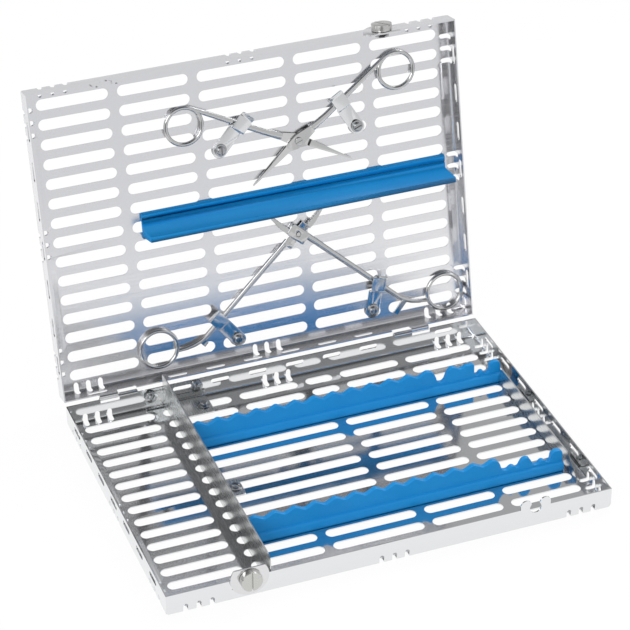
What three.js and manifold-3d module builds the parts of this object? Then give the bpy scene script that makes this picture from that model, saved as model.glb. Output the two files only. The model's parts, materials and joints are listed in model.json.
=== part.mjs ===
// A dental instrument cassette standing open: a perforated base tray and a perforated lid tray
// on two rolled hinges. Both front walls carry a quarter-turn latch. Silicone combs, a divider
// and a rack end sort the base. Inside the lid a silicone bar lies across the middle, and four
// swivel clips hold a pair of scissors and a needle holder.
// Millimetres. X runs along the hinge, Y to the back and Z up.

import * as THREE from "three";
import { mergeVertices } from "three/addons/utils/BufferGeometryUtils.js";
import Module from "manifold-3d";

const wasm = await Module();
wasm.setup();

// The folded trays, base and lid alike
const caseLength = 280;
const caseDepth = 201.2;
const trayHeight = 14.1;
const sheet = 0.8;
const bendRadius = 1.6;
const rimGap = 0.3;
const fitGap = 0.3;
const overrun = 1;
const openAngle = THREE.MathUtils.degToRad(101.9);

// Slots through floor and walls
const rowPitch = 12.75;
const rowMargin = 8;
const floorSlotWidth = 7.3;
const slotEndMargin = 8.5;
const columnBar = 5.7;
const columnShares = [0.19, 0.19, 0.24, 0.19, 0.19];
const middleColumnShares = [0.1856, 0.4016, 0.2272, 0.1856];
const rearColumnShares = [0.1946, 0.1946, 0.1675, 0.0774, 0.1713, 0.1946];
const middleRows = 3;
const wallSlotLength = 12.5;
const wallSlotHeight = 3.2;
const wallSlotPitch = 25.5;
const sideSlotCount = 7;
const sideSlotLevel = 9.5;
const rearSlotCount = 6;
const rearSlotLevel = 10;
const loneSlotInset = 23;

// Drain slots that run across the folded edges, and slits at the corners
const edgeSlotLength = 8.2;
const edgeSlotWidth = 3.2;
const edgeSlotPitch = 8;
const edgeSlotsInGroup = 3;
const longEdgeGroupInset = 19.7;
const shortEdgeGroupInset = 21.6;
const cornerSlitWidth = 1;
const cornerSlitLength = 4.8;
const cornerSlitHeight = 2.4;

// Hinges: tabs of the rear walls rolled round a pin
const hingeOffset = 1.8;
const hingeDrop = 0.8;
const pinRadius = 0.5;
const hingeBore = 0.7;
const rollAngle = THREE.MathUtils.degToRad(250);
const knuckleLength = 12;
const knuckleGap = 0.5;
const knuckleRoot = 3;
const hingeCutoutDepth = 3;
const leftHingeInset = 34.75;
const rightHingeInset = 45.25;
const pinOverhang = 0.25;

// Latches: a fork of one half slides over the knob shaft of the other
const latchInset = 50;
const latchAxisRise = 0.5;
const forkHalfWidth = 9.7;
const forkSeatRadius = 3.75;
const forkNeckWidth = 5.4;
const forkRoot = 3;
const latchCutoutWidth = 21;
const latchCutoutDepth = 6.5;
const latchPlateRadius = 11.8;
const latchPlateTop = 7;
const latchPlateThickness = 1;
const latchPlateStandoff = 0.65;
const latchPadTop = 7;
const shaftRadius = 3.3;
const shaftFlats = 4.8;
const knobRadius = 6.5;
const knobThickness = 4;
const knobBevel = 0.5;
const knobGroove = 1;
const knobNotchRadius = 0.7;
const knobNotches = 3;
const knobNotchShare = 0.25;
const lidGrooveTurn = THREE.MathUtils.degToRad(-63);
const camRadius = 4.6;
const camThickness = 1;
const camGap = 0.35;

// Silicone combs in the base
const combDividerGap = 0.5;
const frontCombInset = 10.6;
const rearCombInset = 6.1;
const combRow = 4;
const combShift = -3;
const combWall = 3.3;
const combTop = 19;
const combFootHeight = 6;
const combFootReach = 2.2;
const combFirstCrestReach = 5.2;
const combPitch = 12.75;
const combCrests = 13;
const combWaveDepth = 3;

// A comb's tail: shares of the way from the last even crest to the right end, and of combTop
const frontTailShares = [
  [0.054, 0.963], [0.096, 0.826], [0.122, 0.611], [0.158, 0.511], [0.212, 0.505], [0.242, 0.579],
  [0.274, 0.611], [0.306, 0.579], [0.336, 0.505], [0.37, 0.526], [0.392, 0.653], [0.422, 0.768],
  [0.469, 0.811], [0.516, 0.768], [0.548, 0.632], [0.567, 0.495], [0.606, 0.447], [0.649, 0.453],
  [0.675, 0.537], [0.704, 0.568], [0.734, 0.537], [0.76, 0.453], [0.799, 0.453], [0.824, 0.526],
  [0.833, 0.705], [0.863, 0.789], [0.914, 0.811], [0.966, 0.789], [1, 0.695],
];
const rearTailShares = [
  [0.053, 0.968], [0.096, 0.874], [0.123, 0.684], [0.137, 0.558], [0.16, 0.479], [0.191, 0.453],
  [0.223, 0.479], [0.246, 0.558], [0.266, 0.737], [0.295, 0.895], [0.34, 0.963], [0.389, 0.916],
  [0.428, 0.837], [0.457, 0.816], [0.49, 0.842], [0.529, 0.905], [0.629, 0.905], [0.639, 0.879],
  [0.643, 0.526], [0.662, 0.437], [0.689, 0.432], [0.713, 0.537], [0.74, 0.568], [0.768, 0.537],
  [0.791, 0.432], [0.82, 0.432], [0.846, 0.495], [0.852, 0.726], [0.879, 0.811], [0.926, 0.837],
  [0.971, 0.811], [1, 0.716],
];

// Feet of combs and bar, and the lugs under them
const footShoulderShare = 0.5;
const lugInset = 0.6;
const lugRoot = 0.5;

// Silicone bar across the lid
const barLeftInset = 65.8;
const barRightInset = 8.8;
const barShift = -2.9;
const barWall = 3.3;
const barRootWidth = 7;
const barHeight = 19.5;
const barFootBelow = 7.8;
const barFootAbove = 9.4;
const barFootHeight = 2.5;
const barGrooveShift = 4.5;
const barGrooveWidth = 1.8;
const barGrooveDepth = 1;

// Divider between the two compartments, bent from one sheet
const dividerInset = 64;
const dividerTop = 23.8;
const dividerCorner = 6;
const dividerFoot = 1.2;
const dividerEndGap = 0.3;
const rearTabLeftReach = 11.1;
const rearTabLeftLow = 3.5;
const rearTabLeftHigh = 12;
const rearTabRightReach = 27;
const rearTabLow = 2.3;
const rearTabRightHigh = 5.5;
const tongueNear = 18;
const tongueWidth = 7;
const tongueTop = 13;
const floorTabReach = 27.2;
const floorTabDepth = 18.5;
const floorTabInset = 12.3;
const midTabReach = 16.5;
const midTabDepth = 16;
const midTabPlace = -2;

// Screws that hold the divider
const screwWasherRadius = 4;
const screwWasherThickness = 0.6;
const screwHeadRadius = 2.6;
const screwHeadHeight = 1.8;
const screwShankRadius = 1.2;
const screwClearance = 0.35;
const headCrownShare = 0.7;
const rearScrewLeftReach = 9;
const rearScrewLeftZ = 9;
const rearScrewRightReach = 21.5;
const rearScrewRightZ = 9.8;
const floorScrewReach = 22.5;
const floorScrewInset = 13.05;
const midScrewReach = 12.3;
const midScrewPlace = -1.9;

// Rack end at the right of the base
const rackInset = 8;
const rackTop = 12.8;
const rackFrontInset = 30.6;
const rackCombGap = 0.65;
const rackSlope = 14;
const rackLip = 1.5;
const rackFootReach = 5.5;
const rackFootLength = 15;
const rackFootInset = 12;
const rivetRadius = 1.9;
const rivetHeadHeight = 0.9;
const rivetShankRadius = 1.1;
const rivetInset = 2.6;

// Swivel clips in the lid
const clipWidth = 9.5;
const clipSheet = 0.6;
const clipTail = 5.5;
const clipFingerLevel = 4.7;
const clipFingerLength = 9.6;
const clipLipRise = 1.3;
const clipLipLength = 2.2;
const clipChamferShare = 0.5;
const clipCornerShare = 0.4;
const clipRowShift = 1.8;
const clipReach = 16;
const scissorsClipLeft = 51.1;
const scissorsClipRight = 40.5;
const holderClipLeft = 45.9;
const holderClipRight = 47.5;
const boltShankRadius = 1.5;
const boltFlangeRadius = 4;
const boltFlangeThickness = 0.6;
const boltHeadRadius = 2.9;
const boltHeadHeight = 1.8;
const nutFlangeRadius = 5.25;
const nutFlangeThickness = 0.8;
const nutRadius = 3.6;
const nutHeight = 2;

// Scissors held in the lid
const scissorsX = 32.7;
const scissorsShift = 37.1;
const scissorsTurnRight = THREE.MathUtils.degToRad(-52.4);
const scissorsTurnLeft = THREE.MathUtils.degToRad(61.3);
const toolRise = 0.6;
const scissorsThickness = 2.8;
const lapGap = 0.3;
const bladeLength = 40;
const bladeWidth = 7.2;
const bladeTip = 0.8;
const bladeBackShare = 0.62;
const shankSwellShare = 0.7;
const shankNeckShare = 0.42;
const bossWidth = 8;
const shoulderBlade = 8;
const shoulderShank = 12;
const scissorsShankWidth = 4;
const scissorsShankShift = 1.8;
const scissorsRingX = 15;
const scissorsRingY = 75.7;
const scissorsRingRadius = 13.2;
const pivotRadius = 1.4;
const pivotHeadRadius = 2.6;
const pivotHeadHeight = 0.6;

// Needle holder held in the lid
const holderX = 27;
const holderShift = -24.3;
const holderTurnLeft = THREE.MathUtils.degToRad(-48.5);
const holderTurnRight = THREE.MathUtils.degToRad(47.4);
const jawLength = 23;
const jawWidth = 3.8;
const jawTip = 1.6;
const jawTeeth = 7;
const jawToothDepth = 0.45;
const jawToothShare = 0.3;
const jawTaperShare = 0.35;
const jawGap = 0.2;
const boxWidth = 8.4;
const boxCornerShare = 0.15;
const boxLength = 14;
const boxThickness = 3.9;
const boxWindow = 1.7;
const boxWindowLength = 11;
const lapWidth = 6;
const lapLength = 15.4;
const holderShankWidth = 4;
const holderShankShift = 2.2;
const holderShankEnd = 88;
const holderRingX = 22;
const holderRingY = 113;
const holderRingRadius = 13.6;
const holderRingWire = 2.8;
const shankEndShare = 0.85;
const shankBowShare = 0.3;
const ringJoinShare = 0.83;
const ratchetReach = 8;
const ratchetPlace = 92;
const ratchetWidth = 3.4;

// How finely round forms are cut
const bendSteps = 1;
const slotSteps = 3;
const wallSlotSteps = 2;
const cornerSteps = 2;
const waveSteps = 8;
const rollSteps = 7;
const smallRound = 8;
const largeRound = 16;
const ringSegments = 18;
const wireSegments = 6;

const halfTurn = Math.PI;
const quarterTurn = Math.PI / 2;

// What the sizes above lead to
const halfLength = caseLength / 2;
const halfDepth = caseDepth / 2;
const hingeAxisY = halfDepth + hingeOffset;
const hingeAxisZ = trayHeight - hingeDrop;
const rowsEachSide = Math.floor((halfDepth - rowMargin) / rowPitch);
const latchAxisZ = trayHeight + latchAxisRise;
const forkSeatZ = 2 * trayHeight + rimGap - latchAxisZ;
const loneSlotX = halfLength - loneSlotInset;
const longEdgeGroupX = halfLength - longEdgeGroupInset;
const shortEdgeGroupY = halfDepth - shortEdgeGroupInset;
const leftHingeX = leftHingeInset - halfLength;
const rightHingeX = halfLength - rightHingeInset;
const latchX = halfLength - latchInset;
const dividerX = dividerInset - halfLength;
const combLeft = dividerX + combDividerGap;
const combFirstCrest = combLeft + combFirstCrestReach;
const frontCombRight = halfLength - frontCombInset;
const rearCombRight = halfLength - rearCombInset;
const combHalfFoot = combWall / 2 + combFootReach;
const barLeft = barLeftInset - halfLength;
const barRight = halfLength - barRightInset;
const barPlace = halfDepth + barShift;
const barFootFrom = halfDepth - barFootBelow;
const barFootTo = halfDepth + barFootAbove;
const barGroovePlace = halfDepth + barGrooveShift;
const rackX = halfLength - rackInset;
const rackFront = rackFrontInset - halfDepth;
const rackBack = combRow * rowPitch + combShift - combHalfFoot - rackCombGap;
const scissorsPlace = halfDepth + scissorsShift;
const holderPlace = halfDepth + holderShift;

// each clip stands beside the shank that it holds; its turn is in degrees
const clipPlaces = [
  { x: scissorsX - scissorsClipLeft, row: 3, shiftShare: 1, turn: 47, reachShare: 1 },
  { x: scissorsX + scissorsClipRight, row: 3, shiftShare: 0.47, turn: 120, reachShare: 1.025 },
  { x: holderX - holderClipLeft, row: -7, shiftShare: 1, turn: 128, reachShare: 0.93125 },
  { x: holderX + holderClipRight, row: -7, shiftShare: 0.92, turn: 77, reachShare: 0.825 },
];

// Materials
const steel = new THREE.MeshStandardMaterial({ color: 0xc9ccd0, roughness: 0.25, metalness: 1 });
const satinSteel = new THREE.MeshStandardMaterial({ color: 0xbfc2c6, roughness: 0.4, metalness: 1 });
const fastenerSteel = new THREE.MeshStandardMaterial({ color: 0xa9adb2, roughness: 0.3, metalness: 1 });
const toolSteel = new THREE.MeshStandardMaterial({ color: 0xb4b7ba, roughness: 0.28, metalness: 1 });
const silicone = new THREE.MeshStandardMaterial({ color: 0x1a84cc, roughness: 0.45, metalness: 0 });

// Outlines are drawn in (y, z), (x, z) or (x, y), and pushed along x, y or z
const planes = {
  x: new THREE.Matrix4().makeBasis(
    new THREE.Vector3(0, 1, 0),
    new THREE.Vector3(0, 0, 1),
    new THREE.Vector3(1, 0, 0),
  ),
  y: new THREE.Matrix4().makeBasis(
    new THREE.Vector3(1, 0, 0),
    new THREE.Vector3(0, 0, 1),
    new THREE.Vector3(0, -1, 0),
  ),
  z: new THREE.Matrix4(),
};

function point(x, y) {
  return new THREE.Vector2(x, y);
}

// points along an arc, both ends included
function arc(centreX, centreY, radius, fromAngle, toAngle, steps) {
  const points = [];
  for (let step = 0; step <= steps; step += 1) {
    const angle = fromAngle + (toAngle - fromAngle) * step / steps;
    points.push(point(centreX + radius * Math.cos(angle), centreY + radius * Math.sin(angle)));
  }
  return points;
}

function circle(centreX, centreY, radius, steps) {
  return arc(centreX, centreY, radius, 0, 2 * halfTurn, steps).slice(1);
}

function rectangle(fromX, toX, fromY, toY) {
  return [point(fromX, fromY), point(toX, fromY), point(toX, toY), point(fromX, toY)];
}

// a slot with round ends, lying along the first axis of its plane
function slotOutline(centreX, centreY, length, width, steps) {
  const reach = (length - width) / 2;
  return [
    ...arc(centreX + reach, centreY, width / 2, -quarterTurn, quarterTurn, steps),
    ...arc(centreX - reach, centreY, width / 2, quarterTurn, 3 * quarterTurn, steps),
  ];
}

// a closed three.js mesh as a solid that can be joined and cut
function toSolid(geometry) {
  const bare = geometry.clone();
  bare.deleteAttribute("normal");
  bare.deleteAttribute("uv");
  const merged = mergeVertices(bare);
  const corners = [];
  const index = merged.index.array;
  for (let corner = 0; corner < index.length; corner += 3) {
    const [a, b, c] = index.slice(corner, corner + 3);
    if (a !== b && b !== c && c !== a) {
      corners.push(a, b, c);
    }
  }
  return new wasm.Manifold(new wasm.Mesh({
    numProp: 3,
    vertProperties: merged.attributes.position.array,
    triVerts: new Uint32Array(corners),
  }));
}

// an outline, with any holes, pushed from one level to another along x, y or z
function prism(outline, axis, low, high, holes = []) {
  const shape = new THREE.Shape(outline);
  shape.holes = holes.map((hole) => new THREE.Path(hole));
  const geometry = new THREE.ExtrudeGeometry(shape, { depth: high - low, bevelEnabled: false });
  geometry.translate(0, 0, axis === "y" ? -high : low);
  geometry.applyMatrix4(planes[axis]);
  return toSolid(geometry);
}

// a profile of radius and height turned about the z axis
function revolve(profile, segments) {
  const geometry = new THREE.LatheGeometry(profile, segments);
  geometry.rotateX(quarterTurn);
  return toSolid(geometry);
}

function block(fromX, toX, fromY, toY, fromZ, toZ) {
  return prism(rectangle(fromX, toX, fromY, toY), "z", fromZ, toZ);
}

function turned(solid, axisX, axisY, angle) {
  const matrix = new THREE.Matrix4().makeTranslation(axisX, axisY, 0);
  matrix.multiply(new THREE.Matrix4().makeRotationZ(angle));
  return solid.transform(matrix.elements);
}

function joined(solids) {
  return solids.reduce((whole, solid) => whole.add(solid));
}

function named(name, solid, material) {
  const mesh = solid.getMesh();
  const geometry = new THREE.BufferGeometry();
  geometry.setAttribute("position", new THREE.BufferAttribute(mesh.vertProperties, 3));
  geometry.setIndex(new THREE.BufferAttribute(mesh.triVerts, 1));
  geometry.computeVertexNormals();
  const node = new THREE.Mesh(geometry, material);
  node.name = name;
  return node;
}

// places of the perforation

function rowPlace(row) {
  return row * rowPitch;
}

// every row of the lid has the same columns; the base's change from zone to zone
function lidShares() {
  return columnShares;
}

function baseShares(row) {
  if (row < -middleRows) {
    return columnShares;
  }
  return row > middleRows ? rearColumnShares : middleColumnShares;
}

function columnSpans(shares) {
  const bars = (shares.length - 1) * columnBar;
  const room = caseLength - 2 * slotEndMargin - bars;
  let from = slotEndMargin - halfLength;
  return shares.map((share) => {
    const span = { from, to: from + share * room };
    from = span.to + columnBar;
    return span;
  });
}

// the space inside a folded tray: round along its four bottom edges, mitred at the corners
function trayBlock(inset, radius, floor, top) {
  const outline = (half) => [
    point(half - inset, top),
    point(inset - half, top),
    ...arc(inset - half + radius, floor + radius, radius, halfTurn, 3 * quarterTurn, bendSteps),
    ...arc(half - inset - radius, floor + radius, radius, -quarterTurn, 0, bendSteps),
  ];
  const reachX = halfLength + overrun;
  const reachY = halfDepth + overrun;
  const alongX = prism(outline(halfDepth), "x", -reachX, reachX);
  return alongX.intersect(prism(outline(halfLength), "y", -reachY, reachY));
}

function floorSlots(sharesOfRow) {
  const slots = [];
  for (let row = -rowsEachSide; row <= rowsEachSide; row += 1) {
    for (const span of columnSpans(sharesOfRow(row))) {
      const centre = (span.from + span.to) / 2;
      const length = span.to - span.from;
      const outline = slotOutline(centre, rowPlace(row), length, floorSlotWidth, slotSteps);
      slots.push(prism(outline, "z", -overrun, sheet + overrun));
    }
  }
  return slots;
}

function sideWallSlots() {
  const slots = [];
  for (let slot = 0; slot < sideSlotCount; slot += 1) {
    const place = (slot - (sideSlotCount - 1) / 2) * wallSlotPitch;
    const outline = slotOutline(place, sideSlotLevel, wallSlotLength, wallSlotHeight, wallSlotSteps);
    slots.push(prism(outline, "x", -halfLength - overrun, halfLength + overrun));
  }
  return slots;
}

function rearWallSlots() {
  const places = [loneSlotX];
  for (let slot = 0; slot < rearSlotCount; slot += 1) {
    places.push((slot - (rearSlotCount - 1) / 2) * wallSlotPitch);
  }
  return places.map((place) => {
    const outline = slotOutline(place, rearSlotLevel, wallSlotLength, wallSlotHeight, wallSlotSteps);
    return prism(outline, "y", halfDepth - sheet - overrun, halfDepth + overrun);
  });
}

// a group of drain slots through the fold at the back edge, cut along the fold's bisector
function edgeSlotGroup(groupPlace, faceAt) {
  const cutters = [];
  const reach = edgeSlotLength;
  for (let slot = 0; slot < edgeSlotsInGroup; slot += 1) {
    const place = groupPlace + (slot - (edgeSlotsInGroup - 1) / 2) * edgeSlotPitch;
    const outline = slotOutline(0, 0, edgeSlotLength, edgeSlotWidth, wallSlotSteps);
    const geometry = new THREE.ExtrudeGeometry(new THREE.Shape(outline), {
      depth: reach + overrun,
      bevelEnabled: false,
    });
    geometry.translate(0, 0, -overrun);
    const along = new THREE.Vector3(0, Math.SQRT1_2, Math.SQRT1_2);
    const sideways = new THREE.Vector3(1, 0, 0);
    const bisector = new THREE.Vector3(0, -Math.SQRT1_2, Math.SQRT1_2);
    geometry.applyMatrix4(new THREE.Matrix4().makeBasis(along, sideways.negate(), bisector));
    geometry.translate(place, faceAt, 0);
    cutters.push(toSolid(geometry));
  }
  return cutters;
}

function edgeSlots() {
  const cutters = [];
  for (const side of [0, 1]) {
    for (const group of [-longEdgeGroupX, 0, longEdgeGroupX]) {
      for (const cutter of edgeSlotGroup(group, halfDepth)) {
        cutters.push(turned(cutter, 0, 0, side * halfTurn));
      }
    }
    for (const group of [-shortEdgeGroupY, 0, shortEdgeGroupY]) {
      for (const cutter of edgeSlotGroup(group, halfLength)) {
        cutters.push(turned(cutter, 0, 0, side * halfTurn + quarterTurn));
      }
    }
  }
  return cutters;
}

function cornerSlits() {
  const slits = [];
  for (const sideX of [-1, 1]) {
    for (const sideY of [-1, 1]) {
      const half = cornerSlitWidth / 2;
      const slit = block(-cornerSlitLength, overrun, -half, half, -overrun, cornerSlitHeight);
      slits.push(turned(slit, sideX * halfLength, sideY * halfDepth, Math.atan2(sideY, sideX)));
    }
  }
  return slits;
}

// hinges

function knuckleSpans(outward) {
  const near = knuckleGap / 2;
  const far = near + knuckleLength;
  const [low, high] = outward ? [-far, -near] : [near, far];
  return [
    { from: leftHingeX + low, to: leftHingeX + high },
    { from: rightHingeX - high, to: rightHingeX - low },
  ];
}

function mirrored(spans) {
  return spans.map((span) => ({ from: -span.to, to: -span.from }));
}

// the wall's tab rises inside, folds over the rim and rolls round the pin
function knuckleSection(axisLevel) {
  const rollRadius = hingeBore + sheet;
  const crown = axisLevel + rollRadius;
  const foldY = halfDepth - sheet + bendRadius;
  const foldZ = crown - bendRadius;
  const root = Math.min(trayHeight, foldZ) - knuckleRoot;
  const rollEnd = quarterTurn - rollAngle;
  return [
    point(halfDepth, root),
    ...arc(foldY, foldZ, bendRadius - sheet, halfTurn, quarterTurn, bendSteps),
    ...arc(hingeAxisY, axisLevel, hingeBore, quarterTurn, rollEnd, rollSteps),
    ...arc(hingeAxisY, axisLevel, rollRadius, rollEnd, quarterTurn, rollSteps),
    ...arc(foldY, foldZ, bendRadius, quarterTurn, halfTurn, bendSteps),
    point(halfDepth - sheet, root),
  ];
}

function hingeCuts(ownSpans, otherSpans, axisLevel) {
  const foldZ = axisLevel + hingeBore + sheet - bendRadius;
  const near = halfDepth - sheet - overrun;
  const far = halfDepth + overrun;
  const top = Math.max(trayHeight, foldZ) + overrun;
  const own = ownSpans.map((span) => block(span.from, span.to, near, far, foldZ, top));
  const other = otherSpans.map((span) => block(
    span.from - fitGap, span.to + fitGap, near, far, trayHeight - hingeCutoutDepth, top));
  return [...own, ...other];
}

// latch fork on the front wall: two round thumbs beside a seat for the knob's shaft

function forkLevels() {
  const neck = forkNeckWidth / 2;
  const thumbLevel = forkSeatZ + Math.sqrt(forkSeatRadius ** 2 - neck ** 2);
  const thumbRadius = (forkHalfWidth - neck) / 2;
  return { neck, thumbLevel, thumbRadius };
}

function forkThumbs() {
  const { neck, thumbLevel, thumbRadius } = forkLevels();
  return [-1, 1].map((side) => {
    const centre = latchX + side * (neck + thumbRadius);
    const outline = [
      point(centre + thumbRadius, trayHeight - forkRoot),
      ...arc(centre, thumbLevel, thumbRadius, 0, halfTurn, smallRound / 2),
      point(centre - thumbRadius, trayHeight - forkRoot),
    ];
    return prism(outline, "y", -halfDepth, sheet - halfDepth);
  });
}

// the fork's seat and mouth, and the room for the other half's fork
function latchCuts() {
  const { neck } = forkLevels();
  const near = -halfDepth - overrun;
  const far = sheet - halfDepth + overrun;
  const top = 2 * trayHeight;
  const seat = prism(circle(latchX, forkSeatZ, forkSeatRadius, largeRound), "y", near, far);
  const mouth = prism(rectangle(latchX - neck, latchX + neck, forkSeatZ, top), "y", near, far);
  const half = latchCutoutWidth / 2;
  const low = trayHeight - latchCutoutDepth;
  const room = prism(rectangle(-latchX - half, -latchX + half, low, top), "y", near, far);
  return [seat, mouth, room];
}

function trayShell(ownSpans, otherSpans, axisLevel, sharesOfRow) {
  const outside = trayBlock(0, bendRadius, 0, trayHeight);
  const inside = trayBlock(sheet, bendRadius - sheet, sheet, trayHeight + overrun);
  const folded = outside.subtract(inside).subtract(joined(hingeCuts(ownSpans, otherSpans, axisLevel)));
  const section = knuckleSection(axisLevel);
  const knuckles = ownSpans.map((span) => prism(section, "x", span.from, span.to));
  const shell = joined([folded, ...knuckles, ...forkThumbs()]);
  const wallSlots = [...sideWallSlots(), ...rearWallSlots(), ...edgeSlots()];
  const slots = [...floorSlots(sharesOfRow), ...wallSlots];
  return shell.subtract(joined([...slots, ...cornerSlits(), ...latchCuts()]));
}

// holes in the base for the divider's screws and the rack's rivets
function baseScrewHoles() {
  const bore = screwShankRadius + screwClearance;
  const near = halfDepth - sheet - overrun;
  const far = halfDepth + overrun;
  const rivetBore = rivetShankRadius + screwClearance;
  const floorHole = (x, y, radius) => prism(
    circle(x, y, radius, smallRound), "z", -overrun, sheet + overrun);
  return [
    ...rearScrewPlaces().map(([x, z]) => prism(circle(x, z, bore, smallRound), "y", near, far)),
    ...floorScrewPlaces().map(([x, y]) => floorHole(x, y, bore)),
    ...rivetPlaces().map((y) => floorHole(rackRivetX(), y, rivetBore)),
  ];
}

// latch pieces, drawn for the knob of the left half of the front wall

const plateFace = -halfDepth - latchPlateStandoff - latchPlateThickness;

function latchPlate() {
  const tilt = Math.asin(latchPlateTop / latchPlateRadius);
  const outline = arc(
    -latchX, latchAxisZ, latchPlateRadius, halfTurn - tilt, 2 * halfTurn + tilt, largeRound);
  const hole = circle(-latchX, latchAxisZ, shaftRadius + fitGap, largeRound);
  const plate = prism(outline, "y", plateFace, plateFace + latchPlateThickness, [hole]);
  const padFace = -halfDepth - fitGap;
  const band = rectangle(-latchX - latchPlateRadius, latchPlateRadius - latchX, 0, latchPadTop);
  return plate.add(prism(outline, "y", plateFace, padFace).intersect(prism(band, "y", plateFace, padFace)));
}

// built lying on its back with the face up, then stood up against the plate
function latchKnob(grooveTurn) {
  const profile = [
    point(0, 0),
    point(knobRadius - knobBevel, 0),
    point(knobRadius, knobBevel),
    point(knobRadius, knobThickness - knobBevel),
    point(knobRadius - knobBevel, knobThickness),
    point(0, knobThickness),
  ];
  const faceLevel = knobThickness + overrun;
  const reach = knobRadius + overrun;
  const half = knobGroove / 2;
  const groove = block(-reach, reach, -half, half, knobThickness - knobGroove, faceLevel);
  const cuts = [turned(groove, 0, 0, grooveTurn)];
  for (let notch = 0; notch < knobNotches; notch += 1) {
    const outline = circle(knobRadius, 0, knobNotchRadius, smallRound);
    const cutter = prism(outline, "z", knobThickness / 2, faceLevel);
    cuts.push(turned(cutter, 0, 0, (notch + knobNotchShare) * 2 * halfTurn / knobNotches));
  }
  const head = revolve(profile, largeRound).subtract(joined(cuts));
  const back = plateFace - fitGap;
  const shaftLength = sheet + camGap - fitGap - halfDepth - back;
  const round = prism(circle(0, 0, shaftRadius, largeRound), "z", -shaftLength, knobBevel);
  const flat = shaftFlats / 2;
  const flats = block(-flat, flat, -shaftRadius, shaftRadius, -shaftLength, knobBevel);
  const upright = new THREE.Matrix4().makeTranslation(-latchX, back, latchAxisZ);
  upright.multiply(new THREE.Matrix4().makeRotationX(quarterTurn));
  return head.add(round.intersect(flats)).transform(upright.elements);
}

function latchCam() {
  const near = sheet + camGap - halfDepth;
  return prism(circle(-latchX, latchAxisZ, camRadius, smallRound), "y", near, near + camThickness);
}

// silicone combs

// a comb's top from its left end: even waves, and then the tail's own shape
function combEdge(right, tailShares) {
  const places = [combLeft];
  const lastStep = (combCrests - 1) * waveSteps;
  for (let step = 1 - waveSteps / 2; step <= lastStep; step += 1) {
    places.push(combFirstCrest + step * combPitch / waveSteps);
  }
  const waves = places.map((x) => {
    const turn = 2 * halfTurn * (x - combFirstCrest) / combPitch;
    return point(x, combTop - combWaveDepth * (1 - Math.cos(turn)) / 2);
  });
  const lastCrest = combFirstCrest + (combCrests - 1) * combPitch;
  const tail = tailShares.map(([along, level]) => point(
    lastCrest + along * (right - lastCrest), level * combTop));
  return [...waves, ...tail];
}

// lugs that fill the floor slots of one row under a foot
function lugs(from, to, rowCentre, low, high, shares) {
  const width = floorSlotWidth - 2 * fitGap;
  return columnSpans(shares)
    .map((span) => {
      const left = Math.max(span.from + fitGap, from + lugInset);
      const right = Math.min(span.to - fitGap, to - lugInset);
      return { centre: (left + right) / 2, length: right - left };
    })
    .filter(({ length }) => length > floorSlotWidth)
    .map(({ centre, length }) => prism(
      slotOutline(centre, rowCentre, length, width, slotSteps), "z", low, high));
}

// a foot along x with sloped shoulders, under a wall of the given thickness
function footSection(centre, base, halfWall, halfFoot, height) {
  const shoulder = (halfFoot - halfWall) * footShoulderShare;
  return [
    point(centre - halfFoot, base),
    point(centre + halfFoot, base),
    point(centre + halfFoot, base + height - shoulder),
    point(centre + halfFoot - shoulder, base + height),
    point(centre - halfFoot + shoulder, base + height),
    point(centre - halfFoot, base + height - shoulder),
  ];
}

function comb(row, right, tailShares) {
  const rowCentre = rowPlace(row);
  const centre = rowCentre + combShift;
  const base = sheet + fitGap;
  const edge = combEdge(right, tailShares);
  const outline = [point(combLeft, base), point(right, base), ...edge.reverse()];
  const blade = prism(outline, "y", centre - combWall / 2, centre + combWall / 2);
  const section = footSection(centre, base, combWall / 2, combHalfFoot, combFootHeight);
  const foot = prism(section, "x", combLeft, right);
  const footprint = block(
    combLeft, right, centre - combHalfFoot, centre + combHalfFoot, 0, combTop);
  const feet = joined(lugs(combLeft, right, rowCentre, 0, base + lugRoot, baseShares(row)));
  return joined([blade, foot, feet.intersect(footprint)]);
}

// the bar of the lid, in the lid panel's own frame: x, place up the panel, height off it
function lidBar() {
  const top = fitGap + barFootHeight;
  const tip = fitGap + barHeight;
  const shoulder = barFootHeight * footShoulderShare;
  const section = [
    point(barFootFrom, fitGap),
    point(barFootTo, fitGap),
    point(barFootTo, top - shoulder),
    point(barFootTo - shoulder, top),
    point(barGroovePlace + barGrooveWidth / 2, top),
    point(barGroovePlace, top - barGrooveDepth),
    point(barGroovePlace - barGrooveWidth / 2, top),
    point(barPlace + barRootWidth / 2, top),
    point(barPlace + barWall / 2, tip),
    point(barPlace - barWall / 2, tip),
    point(barPlace - barRootWidth / 2, top),
    point(barFootFrom + shoulder, top),
    point(barFootFrom, top - shoulder),
  ];
  const feet = lugs(barLeft, barRight, halfDepth, -sheet, fitGap + lugRoot, columnShares);
  return joined([prism(section, "x", barLeft, barRight), ...feet]);
}

// divider: one upright sheet with tabs folded to the floor and to the rear wall

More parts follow.
